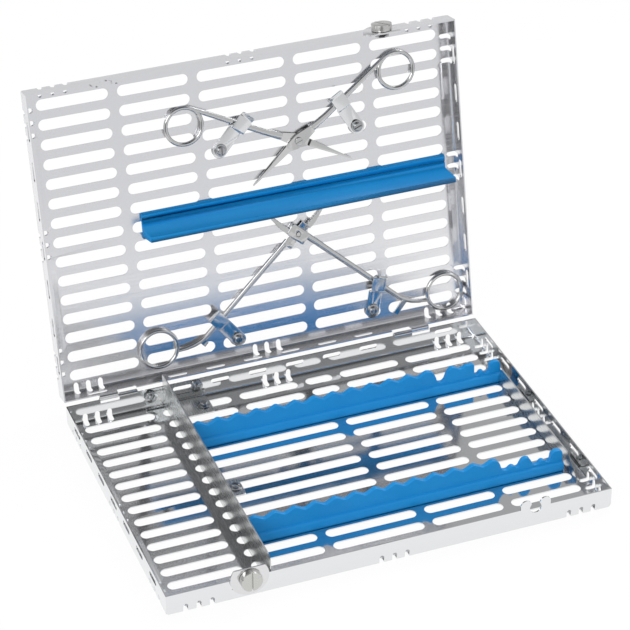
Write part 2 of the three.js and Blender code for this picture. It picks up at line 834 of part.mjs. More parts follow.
function divider() {
  const base = sheet + fitGap;
  const front = dividerEndGap + sheet - halfDepth;
  const back = -front;
  const upright = prism([
    point(front + dividerFoot, base),
    point(back - dividerFoot, base),
    point(back, base + dividerFoot),
    point(back, dividerTop),
    ...arc(front + dividerCorner, dividerTop - dividerCorner, dividerCorner,
      quarterTurn, halfTurn, smallRound / 2),
    point(front, base + dividerFoot),
  ], "x", dividerX - sheet, dividerX);
  const rearFace = back - sheet;
  const leftTab = rectangle(dividerX - sheet - rearTabLeftReach, dividerX, rearTabLeftLow, rearTabLeftHigh);
  const rightTab = rectangle(dividerX - sheet, dividerX + rearTabRightReach, rearTabLow, rearTabRightHigh);
  const tongue = rectangle(
    dividerX + tongueNear, dividerX + tongueNear + tongueWidth, rearTabLow, tongueTop);
  const rearTabs = joined([leftTab, rightTab, tongue].map((tab) => prism(tab, "y", rearFace, back)));
  const half = floorTabDepth / 2;
  const floorTabPlace = halfDepth - floorTabInset;
  const floorTab = block(dividerX - sheet, dividerX + floorTabReach,
    floorTabPlace - half, floorTabPlace + half, base, base + sheet);
  const midHalf = midTabDepth / 2;
  const midTab = block(dividerX - sheet, dividerX + midTabReach,
    midTabPlace - midHalf, midTabPlace + midHalf, base, base + sheet);
  return joined([upright, rearTabs, floorTab, midTab]).subtract(joined(dividerScrewHoles()));
}

function floorScrewPlaces() {
  return [
    [dividerX + floorScrewReach, halfDepth - floorScrewInset],
    [dividerX + midScrewReach, midScrewPlace],
  ];
}

function rearScrewPlaces() {
  return [
    [dividerX - rearScrewLeftReach, rearScrewLeftZ],
    [dividerX + rearScrewRightReach, rearScrewRightZ],
  ];
}

function dividerScrewHoles() {
  const bore = screwShankRadius + screwClearance;
  const near = halfDepth - 2 * sheet - fitGap - overrun;
  return [
    ...floorScrewPlaces().map(([x, y]) => prism(circle(x, y, bore, smallRound), "z", 0, screwReach())),
    ...rearScrewPlaces().map(([x, z]) => prism(circle(x, z, bore, smallRound), "y", near, halfDepth)),
  ];
}

// a screw passes a tab, the tray and the gap under each
function screwReach() {
  return 2 * (sheet + fitGap);
}

function screw() {
  const top = screwWasherThickness + screwHeadHeight;
  const head = revolve([
    point(0, 0),
    point(screwWasherRadius, 0),
    point(screwWasherRadius, screwWasherThickness),
    point(screwHeadRadius, screwWasherThickness),
    point(screwHeadRadius * headCrownShare, top),
    point(0, top),
  ], smallRound);
  const shank = circle(0, 0, screwShankRadius, smallRound);
  return head.add(prism(shank, "z", -screwReach(), screwWasherThickness));
}

// rack end: an upright strip on two feet, riveted to the floor

function rackFeet() {
  const front = rackFront + rackFootInset;
  const back = rackBack - rackFootInset;
  return [
    { from: front, to: front + rackFootLength },
    { from: back - rackFootLength, to: back },
  ];
}

function rivetPlaces() {
  return rackFeet().map((foot) => (foot.from + foot.to) / 2);
}

function rackRivetX() {
  return rackX + rackFootReach - rivetInset;
}

function rackEnd() {
  const base = sheet + fitGap;
  const strip = prism([
    point(rackFront, base),
    point(rackBack, base),
    point(rackBack, rackTop),
    point(rackFront + rackSlope, rackTop),
    point(rackFront, base + rackLip),
  ], "x", rackX, rackX + sheet);
  const feet = rackFeet().map((foot) => block(
    rackX, rackX + rackFootReach, foot.from, foot.to, base, base + sheet));
  const holes = rivetPlaces().map((y) => prism(
    circle(rackRivetX(), y, rivetShankRadius + screwClearance, smallRound), "z", 0, rackTop));
  return joined([strip, ...feet]).subtract(joined(holes));
}

function rivet() {
  const dome = revolve([
    point(0, 0),
    point(rivetRadius, 0),
    point(rivetRadius, rivetHeadHeight / 3),
    point(rivetRadius * headCrownShare, rivetHeadHeight),
    point(0, rivetHeadHeight),
  ], smallRound);
  const shank = circle(0, 0, rivetShankRadius, smallRound);
  return dome.add(prism(shank, "z", -screwReach(), rivetHeadHeight / 3));
}

// clips of the lid: a sprung strip that steps up over an instrument, turning on its bolt

function clip(reach) {
  const low = fitGap;
  const high = low + clipSheet;
  const step = reach + clipSheet;
  const tip = step + clipFingerLength;
  const fingerTop = clipFingerLevel + clipSheet;
  const chamfer = clipSheet * clipChamferShare;
  const side = prism([
    point(-clipTail, low),
    point(step - chamfer, low),
    point(step, low + chamfer),
    point(step, clipFingerLevel),
    point(tip, clipFingerLevel),
    point(tip + clipLipLength, clipFingerLevel + clipLipRise),
    point(tip + clipLipLength - clipSheet / 2, fingerTop + clipLipRise),
    point(tip - clipSheet / 2, fingerTop),
    point(reach + chamfer, fingerTop),
    point(reach, fingerTop - chamfer),
    point(reach, high),
    point(-clipTail, high),
  ], "y", -clipWidth / 2, clipWidth / 2);
  const half = clipWidth / 2;
  const end = tip + clipLipLength;
  const corner = half * clipCornerShare;
  const plan = prism([
    ...arc(half - clipTail, 0, half, quarterTurn, 3 * quarterTurn, smallRound / 2),
    ...arc(end - corner, corner - half, corner, -quarterTurn, 0, cornerSteps),
    ...arc(end - corner, half - corner, corner, 0, quarterTurn, cornerSteps),
  ], "z", 0, fingerTop + clipLipRise);
  const bore = prism(circle(0, 0, boltShankRadius + fitGap, smallRound), "z", 0, clipFingerLevel);
  return side.intersect(plan).subtract(bore);
}

function clipBolt() {
  const seat = 2 * fitGap + clipSheet;
  const flangeTop = seat + boltFlangeThickness;
  const top = flangeTop + boltHeadHeight;
  const head = revolve([
    point(0, seat),
    point(boltFlangeRadius, seat),
    point(boltFlangeRadius, flangeTop),
    point(boltHeadRadius, flangeTop),
    point(boltHeadRadius * headCrownShare, top),
    point(0, top),
  ], smallRound);
  const end = -sheet - fitGap - nutFlangeThickness - nutHeight;
  return head.add(prism(circle(0, 0, boltShankRadius, smallRound), "z", end, flangeTop));
}

function clipNut() {
  const seat = -sheet - fitGap;
  const step = seat - nutFlangeThickness;
  const flange = prism(circle(0, 0, nutFlangeRadius, largeRound), "z", step, seat);
  const hexagon = prism(circle(0, 0, nutRadius, 6), "z", step - nutHeight, (step + seat) / 2);
  const hole = circle(0, 0, boltShankRadius + fitGap, smallRound);
  const bore = prism(hole, "z", step - nutHeight - overrun, seat + overrun);
  return flange.add(hexagon).subtract(bore);
}

// an outline that runs along a centre line with a half width at each point
function band(line) {
  const left = [];
  const right = [];
  line.forEach(([x, y, half], place) => {
    const before = line[Math.max(place - 1, 0)];
    const after = line[Math.min(place + 1, line.length - 1)];
    const along = point(after[0] - before[0], after[1] - before[1]).normalize();
    left.push(point(x - along.y * half, y + along.x * half));
    right.push(point(x + along.y * half, y - along.x * half));
  });
  return [...left, ...right.reverse()];
}

function fingerRing(x, y, outerRadius, wire, level) {
  const geometry = new THREE.TorusGeometry(outerRadius - wire / 2, wire / 2, wireSegments, ringSegments);
  geometry.translate(x, y, level);
  return toSolid(geometry);
}

// one half of the scissors; the ring stands to the given side and the blade crosses to the other
function scissorsHalf(side, onTop) {
  const base = toolRise;
  const top = base + scissorsThickness;
  const middle = (base + top) / 2;
  const half = bladeWidth / 2;
  const blade = [
    point(-side * bladeTip, -bladeLength),
    point(-side * half * bladeBackShare, -bladeLength * bladeBackShare),
    point(-side * half, -shoulderBlade),
    point(-side * bossWidth / 2, 0),
    point(side * bossWidth / 2, 0),
    point(side * bladeTip, -shoulderBlade),
  ];
  const shift = side * scissorsShankShift;
  const nearRing = side * (scissorsRingX - scissorsRingRadius + scissorsThickness / 2);
  const shank = band([
    [0, -bossWidth / 2, bossWidth / 2],
    [0, bossWidth / 2, bossWidth / 2],
    [shift / 2, shoulderShank, scissorsShankWidth * shankSwellShare],
    [shift, shoulderShank * 2, scissorsShankWidth / 2],
    [(shift + nearRing) / 2, scissorsRingY - scissorsRingRadius, scissorsShankWidth * shankNeckShare],
    [nearRing, scissorsRingY, scissorsThickness / 2],
  ]);
  const flat = joined([prism(blade, "z", base, top), prism(shank, "z", base, top)]);
  const ringX = side * scissorsRingX;
  const ring = fingerRing(ringX, scissorsRingY, scissorsRingRadius, scissorsThickness, middle);
  const lapFrom = onTop ? base - overrun : middle - lapGap / 2;
  const lapTo = onTop ? middle + lapGap / 2 : top + overrun;
  const lap = block(-bossWidth, bossWidth, -shoulderBlade, shoulderShank, lapFrom, lapTo);
  const bore = prism(circle(0, 0, pivotRadius + lapGap, smallRound), "z", base - overrun, top + overrun);
  return flat.add(ring).subtract(lap.add(bore));
}

function scissorsScrew() {
  const seat = toolRise + scissorsThickness + lapGap;
  const top = seat + pivotHeadHeight;
  const head = prism(circle(0, 0, pivotHeadRadius, largeRound), "z", seat, top);
  return head.add(prism(circle(0, 0, pivotRadius, smallRound), "z", toolRise, (seat + top) / 2));
}

// half of a needle holder's jaw: a serrated inner edge and a tapered back
function jaw(side, from) {
  const points = [];
  const step = (jawLength - from) / jawTeeth;
  for (let tooth = 0; tooth < jawTeeth; tooth += 1) {
    points.push(point(side * jawGap, from + tooth * step));
    points.push(point(side * (jawGap + jawToothDepth), from + (tooth + jawToothShare) * step));
  }
  return [
    ...points,
    point(side * jawGap, jawLength),
    point(side * jawTip, jawLength),
    point(side * jawWidth, from + (jawLength - from) * jawTaperShare),
    point(side * jawWidth, from),
  ];
}

function holderShank(side) {
  const shift = side * holderShankShift;
  const half = holderShankWidth / 2;
  const ringEdge = holderRingRadius - holderRingWire / 2;
  const joinAngle = halfTurn * ringJoinShare;
  const joinX = side * (holderRingX + ringEdge * Math.cos(joinAngle));
  const joinY = ringEdge * Math.sin(joinAngle) - holderRingY;
  const bowX = shift + (joinX - shift) * shankBowShare;
  const bowY = -holderShankEnd + (joinY + holderShankEnd) / 2;
  return band([
    [0, 0, half],
    [shift, -boxLength / 2, half],
    [shift, -holderShankEnd, half * shankEndShare],
    [bowX, bowY, half * shankEndShare],
    [joinX, joinY, holderRingWire / 2],
  ]);
}

function ratchet(side, onTop) {
  const middle = toolRise + holderRingWire / 2;
  const low = onTop ? middle + lapGap / 2 : toolRise;
  const high = onTop ? toolRise + holderRingWire : middle - lapGap / 2;
  const half = ratchetWidth / 2;
  const root = side * holderShankShift;
  const end = -side * ratchetReach;
  const bar = rectangle(Math.min(root, end), Math.max(root, end), -ratchetPlace - half, half - ratchetPlace);
  return prism(bar, "z", low, high);
}

// the half with the box: two leaves with a window between them, open to both sides
function boxHalf(side) {
  const base = toolRise;
  const top = base + holderRingWire;
  const middle = (base + top) / 2;
  const boxBase = middle - boxThickness / 2;
  const end = boxLength / 2;
  const wide = boxWidth / 2;
  const corner = boxWidth * boxCornerShare;
  const box = prism([
    point(-wide, corner - end),
    point(corner - wide, -end),
    point(wide - corner, -end),
    point(wide, corner - end),
    point(wide, end - corner),
    point(wide - corner, end),
    point(corner - wide, end),
    point(-wide, end - corner),
  ], "z", boxBase, boxBase + boxThickness);
  const window = block(-boxWidth, boxWidth, -boxWindowLength / 2, boxWindowLength / 2,
    middle - boxWindow / 2, middle + boxWindow / 2);
  const flat = joined([
    prism(jaw(-side, end - corner), "z", base, top),
    prism(holderShank(side), "z", base, top),
    box,
  ]);
  const bore = prism(
    circle(0, 0, pivotRadius + lapGap, smallRound), "z", boxBase - overrun, top + boxThickness);
  const ring = fingerRing(side * holderRingX, -holderRingY, holderRingRadius, holderRingWire, middle);
  return joined([flat, ring, ratchet(side, true)]).subtract(window.add(bore));
}

// the half that passes through the window with a thin, narrow waist
function waistHalf(side) {
  const base = toolRise;
  const top = base + holderRingWire;
  const middle = (base + top) / 2;
  const end = lapLength / 2;
  const flat = joined([
    prism(jaw(-side, end - lapGap), "z", base, top),
    prism(holderShank(side), "z", base, top),
    block(-lapWidth / 2, lapWidth / 2, -end - lapGap, end + lapGap, base, top),
  ]);
  const thin = (boxWindow - 2 * lapGap) / 2;
  const cuts = [
    block(-boxWidth, boxWidth, -end, end, base - overrun, middle - thin),
    block(-boxWidth, boxWidth, -end, end, middle + thin, top + overrun),
    prism(circle(0, 0, pivotRadius + lapGap, smallRound), "z", base, top),
  ];
  const ring = fingerRing(side * holderRingX, -holderRingY, holderRingRadius, holderRingWire, middle);
  return joined([flat.subtract(joined(cuts)), ring, ratchet(side, false)]);
}

function holderPin() {
  const middle = toolRise + holderRingWire / 2;
  const half = boxThickness / 2;
  return prism(circle(0, 0, pivotRadius, smallRound), "z", middle - half, middle + half);
}

// the parts put together

function hingePin(name, hingeX) {
  const reach = knuckleLength + knuckleGap / 2 + pinOverhang;
  const pin = prism(
    circle(hingeAxisY, hingeAxisZ, pinRadius, smallRound), "x", hingeX - reach, hingeX + reach);
  return named(name, pin, fastenerSteel);
}

function latchPieces(owner, grooveTurn) {
  return [
    named(`${owner}_latch_plate`, latchPlate(), satinSteel),
    named(`${owner}_latch_knob`, latchKnob(grooveTurn), steel),
    named(`${owner}_latch_cam`, latchCam(), fastenerSteel),
  ];
}

function dividerScrews() {
  const level = 2 * (sheet + fitGap);
  const screws = [];
  floorScrewPlaces().forEach(([x, y], place) => {
    const node = named(`divider_floor_screw_${place + 1}`, screw(), fastenerSteel);
    node.position.set(x, y, level);
    screws.push(node);
  });
  rearScrewPlaces().forEach(([x, z], place) => {
    const node = named(`divider_rear_screw_${place + 1}`, screw(), fastenerSteel);
    node.position.set(x, halfDepth - level, z);
    node.rotation.x = quarterTurn;
    screws.push(node);
  });
  return screws;
}

function rackRivets() {
  return rivetPlaces().map((y, place) => {
    const node = named(`rack_rivet_${place + 1}`, rivet(), fastenerSteel);
    node.position.set(rackRivetX(), y, 2 * (sheet + fitGap));
    return node;
  });
}

function clipGroup(place, number) {
  const group = new THREE.Group();
  const across = halfDepth + place.row * rowPitch + place.shiftShare * clipRowShift;
  group.position.set(place.x, across, 0);
  group.rotation.z = THREE.MathUtils.degToRad(place.turn);
  group.add(named(`clip_${number}`, clip(place.reachShare * clipReach), satinSteel));
  group.add(named(`clip_bolt_${number}`, clipBolt(), fastenerSteel));
  group.add(named(`clip_nut_${number}`, clipNut(), fastenerSteel));
  return group;
}

function toolHalf(name, solid, x, place, turn) {
  const node = named(name, solid, toolSteel);
  node.position.set(x, place, 0);
  node.rotation.z = turn;
  return node;
}

function instruments() {
  return [
    toolHalf("scissors_upper", scissorsHalf(1, true), scissorsX, scissorsPlace, scissorsTurnRight),
    toolHalf("scissors_lower", scissorsHalf(-1, false), scissorsX, scissorsPlace, scissorsTurnLeft),
    toolHalf("scissors_screw", scissorsScrew(), scissorsX, scissorsPlace, 0),
    toolHalf("needle_holder_box_half", boxHalf(1), holderX, holderPlace, holderTurnRight),
    toolHalf("needle_holder_waist_half", waistHalf(-1), holderX, holderPlace, holderTurnLeft),
    toolHalf("needle_holder_pin", holderPin(), holderX, holderPlace, 0),
  ];
}

function baseHalf() {
  const group = new THREE.Group();
  const shell = trayShell(knuckleSpans(false), knuckleSpans(true), hingeAxisZ, baseShares);
  group.add(
    named("base_tray", shell.subtract(joined(baseScrewHoles())), steel),
    ...latchPieces("base", quarterTurn),
    hingePin("hinge_pin_left", leftHingeX),
    hingePin("hinge_pin_right", rightHingeX),
    named("front_comb", comb(-combRow, frontCombRight, frontTailShares), silicone),
    named("rear_comb", comb(combRow, rearCombRight, rearTailShares), silicone),
    named("divider", divider(), satinSteel),
    ...dividerScrews(),
    named("rack_end", rackEnd(), satinSteel),
    ...rackRivets(),
  );
  return group;
}

function lidHalf() {
  const own = mirrored(knuckleSpans(true));
  const other = mirrored(knuckleSpans(false));
  const axisLevel = trayHeight + rimGap + hingeDrop;
  const tray = new THREE.Group();
  const shell = trayShell(own, other, axisLevel, lidShares);
  tray.add(named("lid_tray", shell, steel), ...latchPieces("lid", lidGrooveTurn));
  const panel = new THREE.Group();
  panel.position.set(0, halfDepth, sheet);
  panel.rotation.z = halfTurn;
  panel.add(named("lid_bar", lidBar(), silicone));
  clipPlaces.forEach((place, number) => panel.add(clipGroup(place, number + 1)));
  panel.add(...instruments());
  tray.add(panel);
  tray.rotation.y = halfTurn;
  tray.position.set(0, -hingeAxisY, 2 * trayHeight + rimGap - hingeAxisZ);
  const hinge = new THREE.Group();
  hinge.position.set(0, hingeAxisY, hingeAxisZ);
  hinge.rotation.x = -openAngle;
  hinge.add(tray);
  return hinge;
}

// the whole stands on the floor with its origin under the middle of its box
function cassette() {
  const whole = new THREE.Group();
  whole.add(baseHalf(), lidHalf());
  whole.updateMatrixWorld(true);
  const box = new THREE.Box3().setFromObject(whole, true);
  const centre = box.getCenter(new THREE.Vector3());
  whole.position.set(-centre.x, -centre.y, -box.min.z);
  return whole;
}

const group = cassette();

export default group;
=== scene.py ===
import json
import math

import bpy
from mathutils import Matrix, Vector


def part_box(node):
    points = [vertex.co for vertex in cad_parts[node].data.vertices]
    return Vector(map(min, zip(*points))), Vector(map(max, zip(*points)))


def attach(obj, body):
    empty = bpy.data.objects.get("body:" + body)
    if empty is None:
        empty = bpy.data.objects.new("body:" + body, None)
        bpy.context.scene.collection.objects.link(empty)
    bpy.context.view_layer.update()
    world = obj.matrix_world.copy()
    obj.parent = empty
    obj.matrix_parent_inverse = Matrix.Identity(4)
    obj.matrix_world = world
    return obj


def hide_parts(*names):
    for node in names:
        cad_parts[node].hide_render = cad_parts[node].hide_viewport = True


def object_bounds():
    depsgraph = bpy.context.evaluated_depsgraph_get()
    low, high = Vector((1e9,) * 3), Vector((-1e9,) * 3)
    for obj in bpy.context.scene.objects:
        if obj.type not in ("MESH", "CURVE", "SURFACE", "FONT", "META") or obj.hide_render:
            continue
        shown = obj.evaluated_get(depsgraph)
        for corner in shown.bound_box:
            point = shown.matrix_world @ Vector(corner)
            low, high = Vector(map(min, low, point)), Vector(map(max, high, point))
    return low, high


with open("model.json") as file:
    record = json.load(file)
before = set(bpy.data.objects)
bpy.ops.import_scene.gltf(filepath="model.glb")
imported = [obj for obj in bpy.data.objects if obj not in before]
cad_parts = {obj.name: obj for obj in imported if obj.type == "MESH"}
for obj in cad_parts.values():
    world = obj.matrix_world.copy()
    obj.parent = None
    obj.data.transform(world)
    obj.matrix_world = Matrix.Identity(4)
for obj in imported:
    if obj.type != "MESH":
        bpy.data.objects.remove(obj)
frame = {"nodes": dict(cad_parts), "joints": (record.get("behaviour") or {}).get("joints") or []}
cadBounds = [[float(value) for value in corner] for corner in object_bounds()]
scene = bpy.context.scene
print("frame loaded:", len(frame["nodes"]), "nodes")

# pieces are modelled in millimetres and brought to metres where they are placed
millimetre = 0.001
toMetres = Matrix.Scale(millimetre, 4)
quarter = math.pi / 2
hair = 0.01  # millimetres within which two places count as one
spare = 1  # millimetres by which a cutter passes what it cuts
nodes = frame["nodes"]

cameraData = {
    "place": (-0.4527, -1.20135, 0.92483),
    "turn": (57.0895, 0.3867, -20.8635),  # degrees
    "lens": 144.94,
    "sensor": 36.0,
    "shift": 0.0009,  # upwards, as a share of the sensor's width
    "range": (0.05, 20),
}


def setUpCamera():
    data = bpy.data.cameras.new("photoCamera")
    data.lens = cameraData["lens"]
    data.sensor_width = cameraData["sensor"]
    data.shift_y = cameraData["shift"]
    data.clip_start, data.clip_end = cameraData["range"]
    camera = bpy.data.objects.new("photoCamera", data)
    scene.collection.objects.link(camera)
    camera.location = cameraData["place"]
    camera.rotation_euler = [math.radians(angle) for angle in cameraData["turn"]]
    scene.camera = camera
    scene.view_settings.view_transform = "Standard"


setUpCamera()
print("camera placed")


# selecting and shaping

def deselectAll():
    bpy.ops.object.select_all(action="DESELECT")


def makeActive(piece):
    deselectAll()
    piece.select_set(True)
    bpy.context.view_layer.objects.active = piece


def pick(piece, kind, test=lambda *parts: True):
    # goes into edit mode with only the wanted vertices, edges or faces selected
    makeActive(piece)
    bpy.ops.object.mode_set(mode="EDIT")
    bpy.ops.mesh.select_mode(type=kind)
    bpy.ops.mesh.select_all(action="DESELECT")
    leaveEdit()
    mesh = piece.data
    if kind == "VERT":
        for vertex in mesh.vertices:
            vertex.select = test(vertex.co)
    elif kind == "EDGE":
        for edge in mesh.edges:
            edge.select = test(*[mesh.vertices[index].co for index in edge.vertices])
    else:
        for face in mesh.polygons:
            face.select = test(face.center, face.normal)
    bpy.ops.object.mode_set(mode="EDIT")


def leaveEdit():
    bpy.ops.object.mode_set(mode="OBJECT")


def applyPlace(piece):
    makeActive(piece)
    bpy.ops.object.transform_apply()


def deleteWhere(piece, kind, test):
    pick(piece, kind, test)
    bpy.ops.mesh.delete(type=kind)
    leaveEdit()


def moveWhere(piece, test, shift):
    pick(piece, "VERT", test)
    bpy.ops.transform.translate(value=shift)
    leaveEdit()


def extrude(move):
    bpy.ops.mesh.extrude_region_move(TRANSFORM_OT_translate={"value": move})


def added(operator, **values):
    # the piece that an operator adds, with its place applied
    deselectAll()
    operator(**values)
    piece = bpy.context.active_object
    applyPlace(piece)
    return piece


def block(low, high):
    size = [b - a for a, b in zip(low, high)]
    middle = [(a + b) / 2 for a, b in zip(low, high)]
    return added(bpy.ops.mesh.primitive_cube_add, size=1, location=middle, scale=size)


def roundBar(radius, low, high, sides, place=(0, 0), axis="z"):
    # along z or along y, with its place in the two other directions
    middle = (low + high) / 2
    upright = axis == "z"
    return added(
        bpy.ops.mesh.primitive_cylinder_add, vertices=sides, radius=radius, depth=high - low,
        location=(*place, middle) if upright else (place[0], middle, place[1]),
        rotation=(0 if upright else quarter, 0, 0))


def edgeStrip(length, at, ahead):
    # one edge of a square, the one that lies ahead of its centre
    ahead = Vector(ahead)
    centre = Vector(at) - ahead * (length / 2)
    strip = added(bpy.ops.mesh.primitive_plane_add, size=length, location=centre)
    deleteWhere(strip, "VERT", lambda corner: (corner - centre).dot(ahead) < 0)
    return strip


def placed(piece, place):
    piece.matrix_world = place
    applyPlace(piece)
    return piece


def copyOf(piece, place):
    twin = piece.copy()
    twin.data = piece.data.copy()
    scene.collection.objects.link(twin)
    return placed(twin, place)


def joinUp(pieces):
    deselectAll()
    for piece in pieces:
        piece.select_set(True)
    bpy.context.view_layer.objects.active = pieces[0]
    bpy.ops.object.join()
    return pieces[0]


def applyStep(piece, kind, **values):
    makeActive(piece)
    step = piece.modifiers.new(kind.lower(), kind)
    for key, value in values.items():
        setattr(step, key, value)
    bpy.ops.object.modifier_apply(modifier=step.name)
    return piece


def combine(piece, other, operation="DIFFERENCE"):
    applyStep(piece, "BOOLEAN", operation=operation, solver="EXACT", object=other)
    bpy.data.objects.remove(other)


def spread(piece, count, step):
    return applyStep(
        piece, "ARRAY", count=count, use_relative_offset=False,
        use_constant_offset=True, constant_offset_displace=step)


def bevelEdges(piece, test, width, steps):
    pick(piece, "EDGE", test)
    bpy.ops.mesh.bevel(offset=width, segments=steps, clamp_overlap=True)
    leaveEdit()


def softenEdges(piece, width, steps=2, angle=40):
    return applyStep(
        piece, "BEVEL", width=width, segments=steps, limit_method="ANGLE",
        angle_limit=math.radians(angle))


def faceOutwards(piece):
    pick(piece, "FACE")
    bpy.ops.mesh.remove_doubles(threshold=0.0005)
    bpy.ops.mesh.normals_make_consistent()
    leaveEdit()
    return piece


def thickened(strip, thickness):
    faceOutwards(strip)
    return applyStep(strip, "SOLIDIFY", thickness=thickness, offset=0, use_even_offset=True)


def cutGroove(head, radius, top, groove, turn):
    # across a round head that ends at that height
    width, depth = groove
    cutter = block(
        (-radius - spare, -width / 2, top - depth), (radius + spare, width / 2, top + spare))
    combine(head, placed(cutter, Matrix.Rotation(math.radians(turn), 4, "Z")))


def slotBlock(length, width, depth, sides=32):
    # a round-ended slot along x, cut through along z
    piece = roundBar(width / 2, -depth / 2, depth / 2, sides)
    placed(piece, Matrix.Rotation(math.pi / sides, 4, "Z"))
    reach = (length - width) / 2
    for side in (-1, 1):
        moveWhere(piece, lambda at: at.x * side > 0 and abs(at.x) < width, (side * reach, 0, 0))
    return piece


def shifted(*at):
    # a shift given in millimetres, in metres
    return Matrix.Translation([value * millimetre for value in at])


def paint(piece, finish):
    piece.data.materials.clear()
    piece.data.materials.append(finishes[finish][0])


def finishPiece(piece, name, place, body, finish, node, smooth=32):
    piece.name = name
    piece.data.name = name
    placed(piece, place @ toMetres)
    makeActive(piece)
    bpy.ops.object.shade_smooth_by_angle(angle=math.radians(smooth))
    paint(piece, finish)
    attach(piece, body)
    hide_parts(node)


# finishes

def feed(tree, node, values):
    # an input, by name or number, takes a socket's link or a plain value
    for key, value in values.items():
        if isinstance(value, bpy.types.NodeSocket):
            tree.links.new(value, node.inputs[key])
        else:
            node.inputs[key].default_value = value


def addNode(tree, kind, values=None, **settings):
    node = tree.nodes.new(kind)
    for key, value in settings.items():
        setattr(node, key, value)
    feed(tree, node, values or {})
    return node


def buildSheetGrain():
    # fine drawn lines in the roughness, and slow waves in the sheet's surface
    group = bpy.data.node_groups.new("sheetGrain", "ShaderNodeTree")
    for label, side, kind in (
            ("Vector", "INPUT", "Vector"), ("Line Scale", "INPUT", "Vector"),
            ("Rough Low", "INPUT", "Float"), ("Rough High", "INPUT", "Float"),
            ("Wave Scale", "INPUT", "Float"), ("Wave Height", "INPUT", "Float"),
            ("Roughness", "OUTPUT", "Float"), ("Normal", "OUTPUT", "Vector")):
        group.interface.new_socket(name=label, in_out=side, socket_type=f"NodeSocket{kind}")
    entry = addNode(group, "NodeGroupInput").outputs
    stretch = addNode(group, "ShaderNodeVectorMath", {
        0: entry["Vector"], 1: entry["Line Scale"]}, operation="MULTIPLY")
    lines = addNode(group, "ShaderNodeTexNoise", {
        "Vector": stretch.outputs[0], "Scale": 1, "Detail": 2})
    spreadOut = addNode(group, "ShaderNodeMapRange", {
        "Value": lines.outputs["Fac"], "From Min": 0.3, "From Max": 0.7,
        "To Min": entry["Rough Low"], "To Max": entry["Rough High"]})
    waves = addNode(group, "ShaderNodeTexNoise", {
        "Vector": entry["Vector"], "Scale": entry["Wave Scale"], "Detail": 1})
    bump = addNode(group, "ShaderNodeBump", {
        "Strength": 1, "Distance": entry["Wave Height"], "Height": waves.outputs["Fac"]})
    addNode(group, "NodeGroupOutput", {
        "Roughness": spreadOut.outputs[0], "Normal": bump.outputs["Normal"]})
    return group


sheetGrain = buildSheetGrain()


def newMaterial(name):
    material = bpy.data.materials.new(name)
    material.use_nodes = True
    return material, material.node_tree, material.node_tree.nodes["Principled BSDF"]


def steelFinish(name, colour, lines, rough, waves):
    material, tree, shader = newMaterial(name)
    place = addNode(tree, "ShaderNodeTexCoord").outputs["Object"]
    grain = addNode(tree, "ShaderNodeGroup", node_tree=sheetGrain)
    feed(tree, grain, {
        "Vector": place, "Line Scale": lines, "Rough Low": rough[0], "Rough High": rough[1],
        "Wave Scale": waves[0], "Wave Height": waves[1]})
    feed(tree, shader, {
        "Base Color": (*colour, 1), "Metallic": 1,
        "Roughness": grain.outputs["Roughness"], "Normal": grain.outputs["Normal"]})
    return material


# slot, colour, scale of the drawn lines, least and most roughness, scale and height of the waves
steelData = {
    "traySteel": ("tray_steel", (0.79, 0.8, 0.81), (60, 2500, 2500), (0.06, 0.13), (12, 0.00013)),
    "lidSteel": ("tray_steel", (0.79, 0.79, 0.81), (60, 2500, 2500), (0.15, 0.27), (9, 0.00014)),
    "dividerSteel": (
        "sheet_steel", (0.66, 0.67, 0.67), (2500, 60, 2500), (0.2, 0.32), (14, 0.00012)),
    "clipSteel": ("sheet_steel", (0.7, 0.71, 0.72), (900,) * 3, (0.12, 0.2), (60, 0.00003)),
    "latchSteel": ("latch_steel", (0.74, 0.74, 0.75), (1500,) * 3, (0.12, 0.22), (60, 0.00001)),
    "knobSteel": ("latch_steel", (0.58, 0.58, 0.56), (1500,) * 3, (0.24, 0.36), (60, 0.00001)),
    "fastenerSteel": (
        "fastener_steel", (0.42, 0.43, 0.44), (900,) * 3, (0.14, 0.24), (80, 0.00001)),
    "toolSteel": ("instrument_steel", (0.56,) * 3, (700,) * 3, (0.08, 0.15), (50, 0.00001)),
}
finishes = {name: (steelFinish(name, *values), slot) for name, (slot, *values) in steelData.items()}

siliconeData = {
    "colour": (0.001, 0.222, 0.58),
    "paler": (0.004, 0.275, 0.66),
    "clouds": 30,
    "rough": 0.42,
    "shine": 0.35,
    "speckle": 180,
    "grainHeight": 0.00002,
}


def siliconeFinish():
    material, tree, shader = newMaterial("blueSilicone")
    place = addNode(tree, "ShaderNodeTexCoord").outputs["Object"]
    clouds, speckle = (
        addNode(tree, "ShaderNodeTexNoise", {"Vector": place, "Scale": siliconeData[key]})
        for key in ("clouds", "speckle"))
    mix = addNode(tree, "ShaderNodeMix", {
        0: clouds.outputs["Fac"], 6: (*siliconeData["colour"], 1),
        7: (*siliconeData["paler"], 1)}, data_type="RGBA")
    bump = addNode(tree, "ShaderNodeBump", {
        "Distance": siliconeData["grainHeight"], "Height": speckle.outputs["Fac"]})
    feed(tree, shader, {
        "Base Color": mix.outputs[2], "Normal": bump.outputs["Normal"],
        "Roughness": siliconeData["rough"], "Specular IOR Level": siliconeData["shine"]})
    return material


finishes["blueSilicone"] = (siliconeFinish(), "silicone")
print("finishes made")


# where the base, the lid and the lid's panel are

